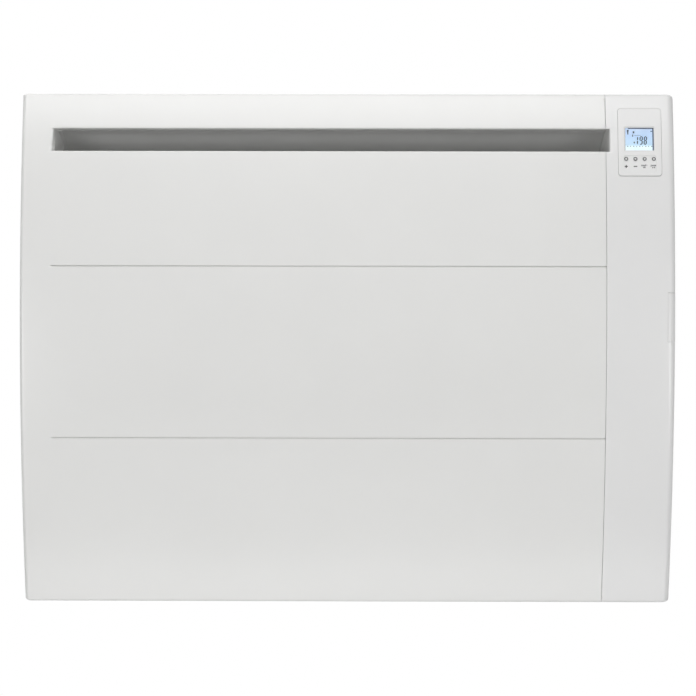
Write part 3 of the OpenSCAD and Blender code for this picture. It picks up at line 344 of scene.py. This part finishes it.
class Sheet:
    """A sheet of quads whose equal corners are merged."""

    def __init__(self):
        self.bm = bmesh.new()
        self.seen = {}

    def vert(self, p):
        key = tuple(round(c, 3) for c in p)
        if key not in self.seen:
            self.seen[key] = self.bm.verts.new([c * MM for c in p])
        return self.seen[key]

    def face(self, points):
        verts = list(dict.fromkeys(self.vert(p) for p in points))
        if len(verts) > 2 and not self.bm.faces.get(verts):
            self.bm.faces.new(verts)

    def patch(self, rows, skip=lambda i, k: False):
        for i in range(len(rows) - 1):
            for k in range(len(rows[i]) - 1):
                if not skip(i, k):
                    self.face([rows[i][k], rows[i][k + 1], rows[i + 1][k + 1], rows[i + 1][k]])

    def finish(self, name, bevel_width):
        """bevel_width gives the width of the bevel for an edge's two ends."""
        bmesh.ops.recalc_face_normals(self.bm, faces=self.bm.faces)
        if sum(f.normal.y * f.calc_area() for f in self.bm.faces) > 0:
            bmesh.ops.reverse_faces(self.bm, faces=self.bm.faces)
        layer = self.bm.edges.layers.float.new("bevel_weight_edge")
        for edge in self.bm.edges:
            a, b = (v.co / MM for v in edge.verts)
            edge[layer] = bevel_width(a, b) / BEVEL_MM
            fold = near(a.z, b.z) and any(
                GROOVE[0][0] - 0.1 < a.z - middle < GROOVE[-1][0] + 0.05 for middle in GROOVES)
            sharp = fold and edge.calc_face_angle(0) > math.radians(20)
            edge.smooth = not edge.is_boundary and not sharp
        return mesh_piece(name, self.bm)


def mesh_piece(name, bm, angle=None):
    for face in bm.faces:
        face.smooth = True
    mesh = bpy.data.meshes.new(name)
    bm.to_mesh(mesh)
    bm.free()
    if angle:
        mesh.set_sharp_from_angle(angle=math.radians(angle))
    piece = bpy.data.objects.new(name, mesh)
    bpy.context.scene.collection.objects.link(piece)
    return piece


def thicken(piece, thickness):
    """Rounds the marked edges and gives the sheet its thickness."""
    bevel = piece.modifiers.new("bevel", "BEVEL")
    bevel.limit_method = "WEIGHT"
    bevel.width = BEVEL_MM * MM
    bevel.segments = 5
    bevel.use_clamp_overlap = False
    solid = piece.modifiers.new("sheet", "SOLIDIFY")
    solid.thickness = thickness * MM
    solid.offset = -1
    solid.use_even_offset = True
    normals = piece.modifiers.new("normals", "WEIGHTED_NORMAL")
    normals.weight = 60
    normals.keep_sharp = True


def smooth_step(a, b, t):
    t = min(1.0, max(0.0, (t - a) / (b - a)))
    return t * t * (3 - 2 * t)


def inset(radius, z):
    """How far a fold of that radius pulls the skin in near the top and the bottom."""
    over = max(0.0, abs(z) - (TOP - radius))
    return radius - math.sqrt(max(0.0, radius ** 2 - over ** 2))


def groove_depth(x, z):
    """How deep the grooves are at a point of the face; they run out at the left."""
    for middle in GROOVES:
        for (u0, d0), (u1, d1) in zip(GROOVE, GROOVE[1:]):
            if u0 <= z - middle <= u1:
                depth = d0 + (d1 - d0) * (z - middle - u0) / (u1 - u0)
                return depth * smooth_step(-336.0, -333.0, x)
    return 0.0


def heights(marks):
    """Row heights from the bottom to the top, with rows at the marks."""
    ends = (8, 4.5, 3.7, 3.0, 2.5, 2.0, 1.5, 1.0, 0.6, 0.3, 0.1, 0)
    fixed = sorted({round(s * (TOP - d), 3) for s in (-1, 1) for d in ends} | set(marks))
    rows = []
    for a, b in zip(fixed, fixed[1:]):
        n = max(1, math.ceil((b - a) / 9))
        rows += [a + (b - a) * k / n for k in range(n)]
    return rows + [fixed[-1]]


def skin_rows(rows, sign, lines, edge_r, corner, angles, depths):
    """The skin as one row of points for each height, from the seam round the edge to the back."""
    skin = []
    for z in rows:
        front = bow(z) + inset(FOLD_R, z)
        side = HALF_W - inset(corner(z), z)
        row = [(x, front + (groove_depth(x, z) if sign < 0 else 0.0), z) for x in lines(z)]
        for a in angles:
            t = math.radians(a)
            across = side - edge_r * (1 - math.sin(t))
            row.append((sign * across, front + edge_r * (1 - math.cos(t)), z))
        skin.append(row + [(sign * side, y, z) for y in depths])
    return skin


def cap_rows(row, depths):
    """The columns of the top or the bottom, from the skin's last row to the back."""
    z = row[0][2]
    flat = row[:len(row) - len(depths)]
    return [[p] + [(p[0], y, z) for y in depths] for p in flat]


def near(a, b, gap=0.02):
    return abs(a - b) < gap


def inside(value, low, high):
    return low - 0.1 < value < high + 0.1


def in_slot(z):
    return inside(z, SLOT_Z0, SLOT_Z1)


PANEL_DEPTHS = (-60.0, -36.2, BACK)
# The panel's upright lines: those at the seam, even ones, and those at the left end,
# which stand wide beside the slot and close together at the grooves' ends
PANEL_FIXED = (SEAM, 288.0, 281.0, 274.0, 262.0)
PANEL_EVEN = 29
PANEL_WIDE = (-311.0, -324.0, SLOT_X0, -343.0, -349.0, -356.0)
PANEL_NARROW = (-331.8, -333.2, -334.4, -335.6, -337.0, -356.0)
SLOT_LINE = len(PANEL_FIXED) + PANEL_EVEN + 2
INLET_X0, INLET_X1 = -356.0, 274.0
LIP = (0.0, 5.5, 9.6)


SLOT_ROWS = (230.5, 237, 243.5)


def on_face(a, b):
    return all(near(p.y, bow(p.z)) for p in (a, b))


def along_slot(a, b):
    return near(a.z, b.z) and (near(a.z, SLOT_Z0) or near(a.z, SLOT_Z1))


def slot_end(z):
    """The left end of the slot, pulled out a little towards its foot."""
    return SLOT_X0 - 2.0 * smooth_step(SLOT_Z1, SLOT_Z0 - 2, z)


def panel_lines(z):
    narrow = smooth_step(212.0, 120.0, z)
    lines = list(PANEL_FIXED)
    last = PANEL_WIDE[0] + (PANEL_NARROW[0] - PANEL_WIDE[0]) * narrow
    step = (last - PANEL_FIXED[-1]) / (PANEL_EVEN + 1)
    lines += [PANEL_FIXED[-1] + step * k for k in range(1, PANEL_EVEN + 1)]
    ends = [a + (b - a) * narrow for a, b in zip(PANEL_WIDE, PANEL_NARROW)]
    ends[2] += (slot_end(z) - SLOT_X0) * (1 - narrow)
    return lines + ends


def make_front_panel():
    sheet = Sheet()
    groove = (-7, -2.1, -0.6, 1.2, 7) + tuple(u for u, _ in GROOVE)
    at_grooves = {middle + u for middle in GROOVES for u in groove}
    rows = heights(at_grooves | {212, 218, SLOT_Z0, *SLOT_ROWS, SLOT_Z1, 256, 264})
    skin = skin_rows(rows, -1, panel_lines, PANEL_EDGE_R, lambda z: 2.2 if z > 0 else 4.5,
                     range(0, 91, 10), PANEL_DEPTHS)
    sheet.patch(skin, lambda i, k: k < SLOT_LINE and in_slot(rows[i]) and in_slot(rows[i + 1]))
    sheet.patch(cap_rows(skin[-1], PANEL_DEPTHS))
    bottom = cap_rows(skin[0], PANEL_DEPTHS)
    sheet.patch(bottom, lambda i, k: k == 1 and inside(bottom[i][0][0], INLET_X0, INLET_X1)
                and inside(bottom[i + 1][0][0], INLET_X0, INLET_X1))
    slot_rows = [r for r, z in zip(skin, rows) if in_slot(z)]
    for row in (slot_rows[0], slot_rows[-1]):
        sheet.patch([[(x, y + d, z) for d in LIP] for x, y, z in row[:SLOT_LINE + 1]])
    end_wall = []
    for x, y, z in (row[SLOT_LINE] for row in slot_rows):
        end_wall.append([(x + (SLOT_X0 + 0.1 - x) * d / LIP[-1], y + d, z) for d in LIP])
    sheet.patch(end_wall)
    for low, high in ((-279, 213), (255, 283)):
        seam = [row[0] for row in skin if low < row[0][2] < high]
        sheet.patch([[(x, y + d, z) for d in (0.0, 3.0, 10.5)] for x, y, z in seam])

    def bevel_width(a, b):
        at_seam = near(a.x, SEAM) and near(b.x, SEAM)
        if not on_face(a, b):
            beside_face = all(abs(p.y - bow(p.z)) < 1 for p in (a, b)) and abs(a.y - b.y) < 1.5
            return 0.5 if at_seam and beside_face else 0.0
        if along_slot(a, b) and min(a.x, b.x) > slot_end(a.z) - 0.1:
            return 1.5
        if near(a.x, slot_end(a.z)) and near(b.x, slot_end(b.z)) and in_slot(a.z) and in_slot(b.z):
            return 1.6 + 2.4 * (SLOT_Z1 - (a.z + b.z) / 2) / (SLOT_Z1 - SLOT_Z0)
        return 0.5 if at_seam else 0.0

    piece = sheet.finish("front_sheet", bevel_width)
    thicken(piece, PANEL_T)
    return piece


COVER_DEPTHS = (-62.0, -53.7, -42.0, BACK)
HOLE = (BEZEL_X - BEZEL_W / 2 - 0.3, BEZEL_X + BEZEL_W / 2 + 0.3,
        BEZEL_Z - BEZEL_H / 2 - 0.35, BEZEL_Z + BEZEL_H / 2 + 0.1)
HOLE_R = BEZEL_R + 0.3
# The cover's upright lines beside the display surround, and lower down above the vents
COVER_HIGH = (COVER_X, 294.2, SLOT_X1, 301.0, HOLE[0], HOLE[0] + HOLE_R, 313, 317, 321, 325, 329,
              333, 337, 341, 345, 348, HOLE[1] - HOLE_R, HOLE[1], 356.4)
COVER_LOW = (COVER_X, 296, 301, 305, 308.45, 311.45, 315.45, 318.45, 322.45, 325.45, 329.45,
             332.45, 336.45, 339.45, 343.45, 346.45, 350.45, 353.45, 356.4)
# The edges of the display surround's hole, and of the vents, by their lines
HOLE_LINES = (4, 17)
VENT_LINES = range(4, 18, 2)
RIM_Y = bow(SLOT_Z0) + 8.0
CUT_X = 360.4


def cover_lines(z):
    high = smooth_step(-250.0, -60.0, z)
    lines = [a + (b - a) * high for a, b in zip(COVER_LOW, COVER_HIGH)]
    lines[-1] += (CUT_X - lines[-1]) * smooth_step(-60.0, 5.0, z) * smooth_step(160.0, 70.0, z)
    return lines


def make_control_cover():
    sheet = Sheet()
    rows = heights({HOLE[2], HOLE[2] + HOLE_R, HOLE[3] - HOLE_R, HOLE[3], SWITCH_Z0, SWITCH_Z1,
                    219, SLOT_Z0, *SLOT_ROWS, SLOT_Z1, 255})
    angles = range(0, 91, 10)
    skin = skin_rows(rows, 1, cover_lines, COVER_EDGE_R, lambda z: 4.5, angles, COVER_DEPTHS)
    cut_from = len(COVER_HIGH) - 1
    cut_to = len(COVER_HIGH) + len(angles) + 1

    def hole(i, k):
        for first, end, low, high in ((0, 2, SLOT_Z0, SLOT_Z1), (*HOLE_LINES, *HOLE[2:]),
                                      (cut_from, cut_to, SWITCH_Z0, SWITCH_Z1)):
            if first <= k < end and inside(rows[i], low, high) and inside(rows[i + 1], low, high):
                return True
        return False

    sheet.patch(skin, hole)
    for k, sx in zip(HOLE_LINES, (1, -1)):
        for z, sz in ((HOLE[2], 1), (HOLE[3], -1)):
            corner_x = COVER_HIGH[k]
            cx, cz = corner_x + sx * HOLE_R, z + sz * HOLE_R
            arc = []
            for step in range(7):
                t = math.radians(15 * step)
                px, pz = cx - sx * HOLE_R * math.cos(t), cz - sz * HOLE_R * math.sin(t)
                arc.append((px, bow(pz), pz))
            for p, q in zip(arc, arc[1:]):
                sheet.face([(corner_x, bow(z), z), p, q])
    sheet.patch(cap_rows(skin[-1], COVER_DEPTHS))
    bottom = cap_rows(skin[0], COVER_DEPTHS)
    sheet.patch(bottom, lambda i, k: k in (1, 2) and i in VENT_LINES)

    slot_rows = [r for r, z in zip(skin, rows) if in_slot(z)]
    for row, depth in ((slot_rows[0], (0.0, 4.2, 8.0)), (slot_rows[-1], (0.0, 2.8))):
        sheet.patch([[(x, y + d, z) for d in depth] for x, y, z in row[:3]])
    rim = [row[2] for row in slot_rows]
    sheet.patch([[(x, y, z), (x, y + 4.2, z), (x, RIM_Y, z)] for x, y, z in rim])
    for low, high in ((-283, 220), (254, 283)):
        seam = [row[0] for row in skin if low < row[0][2] < high]
        sheet.patch([[(x, y + d, z) for d in (0.0, 3.0, 11.0)] for x, y, z in seam])

    def bevel_width(a, b):
        if not on_face(a, b):
            return 0.0
        if near(a.x, SLOT_X1) and near(b.x, SLOT_X1) and in_slot(a.z) and in_slot(b.z):
            return 3.6
        if along_slot(a, b) and max(a.x, b.x) < SLOT_X1 + 0.1:
            return 1.5
        return 0.7 if near(a.x, COVER_X) and near(b.x, COVER_X) else 0.0

    piece = sheet.finish("column_cover", bevel_width)
    thicken(piece, COVER_T)
    return piece


# The display surround, in its own frame: X right, Y inwards from the bowed face, Z up

TILT = math.asin((BEZEL_Z - CREST_Z) / FACE_R)
BEZEL_FRAME = (Matrix.Translation(Vector((BEZEL_X, FACE_AXIS_Y, CREST_Z)) * MM)
               @ Matrix.Rotation(-TILT, 4, "X")
               @ Matrix.Translation(Vector((0, (0.2 - FACE_R) * MM, 0))))


def round_rect(w, h, r, cx=0.0, cz=0.0, steps=8):
    points = []
    for quarter, (sx, sz) in enumerate(((1, 1), (-1, 1), (-1, -1), (1, -1))):
        for k in range(steps + 1):
            t = math.pi / 2 * (quarter + k / steps)
            points.append((cx + sx * (w / 2 - r) + r * math.cos(t),
                           cz + sz * (h / 2 - r) + r * math.sin(t)))
    return points


def disc(r, cx, cz, steps=40):
    turns = [math.tau * k / steps for k in range(steps)]
    return [(cx + r * math.cos(t), cz + r * math.sin(t)) for t in turns]


def add_curve(bm, curve, place):
    """Adds the mesh of a flat curve, set upright, at a place in millimetres."""
    holder = bpy.data.objects.new("holder", curve)
    mesh = bpy.data.meshes.new_from_object(holder)
    upright = Matrix.Rotation(math.pi / 2, 4, "X")
    mesh.transform(Matrix.Translation(Vector(place) * MM) @ upright)
    bm.from_mesh(mesh)
    bpy.data.objects.remove(holder)
    bpy.data.curves.remove(curve)
    bpy.data.meshes.remove(mesh)


def plate(bm, outlines, y0, y1, edge):
    """Adds a flat plate with holes and rounded edges between two depths."""
    curve = bpy.data.curves.new("outline", "CURVE")
    curve.dimensions = "2D"
    curve.fill_mode = "BOTH"
    curve.extrude = ((y1 - y0) / 2 - edge) * MM
    curve.bevel_depth = edge * MM
    curve.bevel_resolution = 3
    curve.offset = -edge * MM
    for outline in outlines:
        spline = curve.splines.new("POLY")
        spline.points.add(len(outline) - 1)
        spline.use_cyclic_u = True
        for point, (x, z) in zip(spline.points, outline):
            point.co = (x * MM, z * MM, 0, 1)
    add_curve(bm, curve, (0, (y0 + y1) / 2, 0))


def loft(bm, rings):
    """Adds quads between rings of (x, y, z) points in millimetres."""
    made = [[bm.verts.new([c * MM for c in p]) for p in ring] for ring in rings]
    for a, b in zip(made, made[1:]):
        for k in range(len(a)):
            n = (k + 1) % len(a)
            bm.faces.new([a[k], a[n], b[n], b[k]])


def key_x(i):
    return (i - 1.5) * KEY_PITCH


def make_bezel():
    bm = bmesh.new()
    outer = round_rect(BEZEL_W, BEZEL_H, BEZEL_R)
    recess = round_rect(RECESS_W, RECESS_H, 2.0, 0, -RECESS_DOWN)
    floor_y = RECESS_D - BEZEL_RISE
    chamfer = 1.1
    mouth = round_rect(WINDOW_W + 2 * chamfer, WINDOW_H + 2 * chamfer, 1.2, 0, WINDOW_UP)
    throat = round_rect(WINDOW_W, WINDOW_H, 0.6, 0, WINDOW_UP)
    plate(bm, [outer, mouth, recess], -BEZEL_RISE, floor_y + 0.3, 0.3)
    keyholes = [disc(KEY_D / 2 + 0.1, key_x(i), -KEY_DOWN) for i in range(4)]
    base = round_rect(BEZEL_W - 0.1, BEZEL_H - 0.1, BEZEL_R)
    plate(bm, [base, throat] + keyholes, floor_y, BEZEL_T, 0.12)
    loft(bm, [[(x, -BEZEL_RISE + 0.12, z) for x, z in mouth], [(x, 0.9, z) for x, z in throat],
              [(x, 1.8, z) for x, z in throat]])
    bmesh.ops.recalc_face_normals(bm, faces=bm.faces)
    piece = mesh_piece("surround", bm, 35)
    piece.matrix_world = BEZEL_FRAME
    return piece


# Radius and depth of a key's cap from its middle to the foot of its stem
KEY_PROFILE = (
    (0.0, -0.66), (0.5, -0.65), (0.95, -0.58), (1.2, -0.45), (1.32, -0.2), (1.42, -0.05),
    (1.6, -0.08), (1.8, -0.3), (2.0, -0.36), (2.2, -0.28), (2.3, -0.1), (2.3, 3.05),
    (3.25, 3.07), (3.3, 3.12), (3.3, 4.0), (1.4, 4.05), (1.4, 7.3), (0.0, 7.3))


def make_key(i, name):
    bm = bmesh.new()
    steps = 40
    rings = []
    for r, y in KEY_PROFILE:
        if r == 0.0:
            rings.append([bm.verts.new((0, y * MM, 0))] * steps)
        else:
            rings.append([bm.verts.new((x * MM, y * MM, z * MM)) for x, z in disc(r, 0, 0, steps)])
    for a, b in zip(rings, rings[1:]):
        for k in range(steps):
            n = (k + 1) % steps
            bm.faces.new(list(dict.fromkeys([a[k], a[n], b[n], b[k]])))
    bmesh.ops.recalc_face_normals(bm, faces=bm.faces)
    piece = mesh_piece(name + "_key_cap", bm, 50)
    piece.matrix_world = BEZEL_FRAME @ Matrix.Translation(Vector((key_x(i), 0, -KEY_DOWN)) * MM)
    return piece


def flat_shapes(name, shapes, y, thickness):
    """Thin flat shapes, each a ring of (x, z) points, at one depth of the surround's frame: the
    display's print, and its painted shade band.
    """
    bm = bmesh.new()
    for shape in shapes:
        verts = [bm.verts.new((x * MM, y * MM, z * MM)) for x, z in shape]
        face = bm.faces.new(verts)
        front = bmesh.ops.extrude_face_region(bm, geom=[face])["geom"]
        bmesh.ops.translate(bm, verts=[v for v in front if isinstance(v, bmesh.types.BMVert)],
                            vec=(0, -thickness * MM, 0))
    bmesh.ops.recalc_face_normals(bm, faces=bm.faces)
    piece = mesh_piece(name, bm, 30)
    piece.matrix_world = BEZEL_FRAME
    return piece


def bar(x0, z0, x1, z1, w):
    """A bar with pointed ends, like a display segment."""
    a, b = Vector((x0, z0)), Vector((x1, z1))
    d = (b - a).normalized() * w / 2
    n = Vector((-d.y, d.x))
    return [tuple(p) for p in (a, a + d + n, b - d + n, b, b - d - n, a + d - n)]


def box(x0, z0, x1, z1):
    return [(x0, z0), (x1, z0), (x1, z1), (x0, z1)]


SEGMENTS = {"1": "bc", "8": "abcdefg", "9": "abcdfg"}


def digit(sign, x, z, w, h, thick, slant=0.06):
    """A seven segment digit with its lower left corner at x and z."""
    g = 0.12
    ends = {
        "a": (x + g, z + h, x + w - g, z + h), "g": (x + g, z + h / 2, x + w - g, z + h / 2),
        "d": (x + g, z, x + w - g, z), "b": (x + w, z + h / 2 + g, x + w, z + h - g),
        "c": (x + w, z + g, x + w, z + h / 2 - g), "f": (x, z + h / 2 + g, x, z + h - g),
        "e": (x, z + g, x, z + h / 2 - g)}
    shapes = [bar(*ends[s], thick) for s in SEGMENTS[sign]]
    return [[(px + slant * (pz - z), pz) for px, pz in shape] for shape in shapes]


def make_display_signs():
    """Three digits and plain marks, placed from the middle of the window."""
    shapes = []
    for sign, x, w in (("1", -3.5, 0.8), ("9", 0.1, 2.5), ("8", 4.9, 2.4)):
        shapes += digit(sign, x, -6.3, w, 8.7, 1.3)
    shapes += [box(-6.8, -5.2, -5.4, -3.4), box(-6.0, 3.6, 1.2, 3.95), box(-8.4, 2.5, -7.4, 5.0)]
    shapes.append([(-14.4, 10.3), (-12.2, 10.3), (-12.5, 8.5), (-12.8, 4.9), (-13.8, 4.9),
                   (-14.2, 8.5)])
    shapes += [box(-7.7, 6.3, -5.9, 8.8), box(12.3, 8.2, 14.1, 9.2)]
    for k in range(9):
        middle = -13.6 + 3.4 * k
        shapes.append(box(middle - 0.5, -9.2, middle + 0.5 - 0.3 * (k % 2), -8.2))
    shifted = [[(x + 0.55, z + WINDOW_UP + 0.75) for x, z in shape] for shape in shapes]
    return flat_shapes("display_digits", shifted, 2.97, 0.03)


def make_display_shade_band():
    """Painted shade on the lit cell: a dark band along the top and the right stands in for the
    shade of the window's walls; the thin band on the left is the cell's own dark frame.
    """
    w, h = WINDOW_W / 2 + 0.6, WINDOW_H / 2 + 1.2
    up = WINDOW_UP
    shapes = [box(-12.5, up + h - 2.2, w, up + h), box(w - 1.9, up - h + 0.8, w, up + h - 2.2),
              box(-w, up - h, -w + 1.2, up + h)]
    return flat_shapes("display_painted_shade", shapes, 2.98, 0.05)


def text_mesh(bm, words, x, z, height, y, bold):
    curve = bpy.data.curves.new("words", "FONT")
    curve.body = words
    curve.align_x = "CENTER"
    curve.align_y = "CENTER"
    curve.size = height * MM
    curve.extrude = 0.02 * MM
    curve.offset = bold * MM
    add_curve(bm, curve, (x, y, z))


# Sign, its middle, its height above the row's line, its size and how bold it is
KEY_SIGNS = (
    ("+", key_x(0), -0.7, 6.2, 0.3), ("−", key_x(1), -0.7, 7.4, 0.25),
    ("mode", key_x(2) - 0.5, 0.9, 3.0, 0.11), ("ok", key_x(2) - 0.5, -1.3, 2.8, 0.11),
    ("prog", key_x(3) - 0.5, 0.9, 3.3, 0.11), ("set", key_x(3) - 0.3, -1.5, 2.9, 0.11),
)


def make_key_signs():
    bm = bmesh.new()
    y = RECESS_D - BEZEL_RISE
    z = -KEY_DOWN - 8.2
    for words, x, up, size, bold in KEY_SIGNS:
        text_mesh(bm, words, x, z + up, size, y, bold)
    piece = mesh_piece("key_signs", bm, 30)
    piece.matrix_world = BEZEL_FRAME
    return piece


# A dark matte coat, used for printed signs and for the display's painted shade band
def print_and_shade_coat(name, colour):
    m = Nodes(name)
    m.colour(m.ramp(m.noise(900, 2), [(0.3, tint(colour, 0.8)), (0.7, tint(colour, 1.2))]))
    m.roughness(m.spread(m.noise(1500, 2), 0.4, 0.6))
    return m.mat


def two_shot_key(name):
    """A key with a pale middle in a dark grey ring, by the distance from its axis."""
    m = Nodes(name)
    flat = m.add("ShaderNodeVectorMath", operation="MULTIPLY")
    flat.inputs[1].default_value = (1, 0, 1)
    m.link(m.coord, flat.inputs[0])
    away = m.add("ShaderNodeVectorMath", operation="LENGTH")
    m.link(flat.outputs["Vector"], away.inputs[0])
    scaled = m.add("ShaderNodeMath", operation="MULTIPLY")
    scaled.inputs[1].default_value = 400.0
    m.link(away.outputs["Value"], scaled.inputs[0])
    m.colour(m.ramp(scaled.outputs[0], [(0.0, (0.84, 0.84, 0.83)), (0.44, (0.84, 0.84, 0.83)),
                                        (0.5, (0.09, 0.09, 0.1)), (0.82, (0.09, 0.09, 0.1)),
                                        (0.88, (0.7, 0.7, 0.7)), (1.0, (0.7, 0.7, 0.7))]))
    m.roughness(m.spread(m.noise(900, 2), 0.32, 0.45))
    m.bump(m.noise(2200, 2), 2e-6)
    return m.mat


def dress(piece, material, replaced=None, body="casing"):
    piece.data.materials.clear()
    piece.data.materials.append(material)
    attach(piece, body)
    if replaced:
        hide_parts(replaced)


def make_pieces(made):
    dress(make_front_panel(), made["painted_steel"], "front_panel")
    dress(make_control_cover(), made["white_plastic"], "control_cover")
    dress(make_bezel(), made["white_plastic"], "control_bezel")
    dress(make_display_signs(), print_and_shade_coat("display_ink", (0.01, 0.035, 0.07)))
    # Painted shade: dark bands on the lit cell under the window's top and right walls, and the
    # cell's thin dark frame on the left
    dress(make_display_shade_band(), print_and_shade_coat("display_shade_ink", (0.05, 0.08, 0.17)))
    dress(make_key_signs(), print_and_shade_coat("sign_ink", (0.05, 0.05, 0.055)))
    key_skin = two_shot_key("key_two_shot")
    for i, name in enumerate(KEYS):
        dress(make_key(i, name), key_skin, "key_" + name, name + "_key")


# Studio, in metres

FLOOR_Z = -0.55
FLOOR_GLOW = 0.5
WORLD_LIGHT = 0.06
OVERHEAD_Z = 1.0


def direct_rays(tree):
    """1 for what the camera sees itself, through glass or in a reflection."""
    rays = tree.nodes.new("ShaderNodeLightPath")
    value = rays.outputs["Is Camera Ray"]
    for kind in ("Is Transmission Ray", "Is Glossy Ray"):
        either = tree.nodes.new("ShaderNodeMath")
        either.operation = "MAXIMUM"
        tree.links.new(value, either.inputs[0])
        tree.links.new(rays.outputs[kind], either.inputs[1])
        value = either.outputs[0]
    return value


def area_light(name, place, target, size, watts):
    data = bpy.data.lights.new(name, "AREA")
    data.shape = "RECTANGLE"
    data.size, data.size_y = size
    data.energy = watts
    lamp = bpy.data.objects.new(name, data)
    lamp.location = place
    lamp.rotation_mode = "QUATERNION"
    lamp.rotation_quaternion = (Vector(target) - Vector(place)).to_track_quat("-Z", "Y")
    # Seen from below, the lamp overhead would burn out the bowed front
    lamp.visible_glossy = place[2] < OVERHEAD_Z
    bpy.context.scene.collection.objects.link(lamp)


def make_floor():
    mesh = bpy.data.meshes.new("floor")
    bm = bmesh.new()
    bmesh.ops.create_circle(bm, cap_ends=True, segments=96, radius=2.6)
    bm.to_mesh(mesh)
    bm.free()
    floor = bpy.data.objects.new("floor", mesh)
    floor.location = (0, -2.3, FLOOR_Z)
    bpy.context.scene.collection.objects.link(floor)
    m = Nodes("floor")
    m.colour(m.ramp(m.noise(6, 2), [(0.3, (0.88, 0.88, 0.88)), (0.7, (0.92, 0.92, 0.92))]))
    m.set(Roughness=0.8)
    above = m.add("ShaderNodeMath", operation="SUBTRACT")
    above.inputs[0].default_value = 1.0
    m.link(m.add("ShaderNodeNewGeometry").outputs["Backfacing"], above.inputs[1])
    m.link(above.outputs[0], m.bsdf.inputs["Alpha"])
    # What the camera sees of the floor is nearly white, with its shadows
    glow = m.add("ShaderNodeMath", operation="MULTIPLY")
    m.link(direct_rays(m.tree), glow.inputs[0])
    glow.inputs[1].default_value = FLOOR_GLOW
    m.set(Emission_Color=(1, 1, 1, 1))
    m.link(glow.outputs[0], m.bsdf.inputs["Emission Strength"])
    mesh.materials.append(m.mat)


def make_world():
    world = bpy.data.worlds.new("studio")
    bpy.context.scene.world = world
    world.use_nodes = True
    tree = world.node_tree
    tree.nodes.clear()
    out = tree.nodes.new("ShaderNodeOutputWorld")
    mix = tree.nodes.new("ShaderNodeMixShader")
    tree.links.new(direct_rays(tree), mix.inputs["Fac"])
    for socket, strength in ((1, WORLD_LIGHT), (2, 1.0)):
        white = tree.nodes.new("ShaderNodeBackground")
        white.inputs["Color"].default_value = (1, 1, 1, 1)
        white.inputs["Strength"].default_value = strength
        tree.links.new(white.outputs[0], mix.inputs[socket])
    tree.links.new(mix.outputs[0], out.inputs["Surface"])


# Name, place, aim, width and height in metres, and watts
LAMPS = (
    ("front_right", (1.5, -2.05, -0.17), (0, -0.1, 0.2), (1.2, 0.7), 8.55),
    ("front_left", (-1.5, -2.05, -0.17), (0, -0.1, 0.2), (1.2, 0.7), 9.65),
    ("side_right", (1.9, -0.6, 0.1), (0, -0.1, 0), (1.0, 1.4), 2.1),
    ("near_strip", (-0.15, -1.0, 0.72), (-0.1, -0.1, 0.25), (1.7, 0.16), 2.9),
    ("low_strip", (0, -0.52, -0.53), (0, -0.52, 0.0), (1.5, 0.26), 1.5),
    ("top", (-0.3, -0.36, 1.35), (-0.1, -0.1, 0.2), (2.0, 0.8), 12.4),
)


def make_studio():
    for lamp in LAMPS:
        area_light(*lamp)
    make_world()
    make_floor()
    bpy.context.scene.view_settings.view_transform = "Standard"


make_camera()
made = dress_nodes()
make_pieces(made)
make_studio()
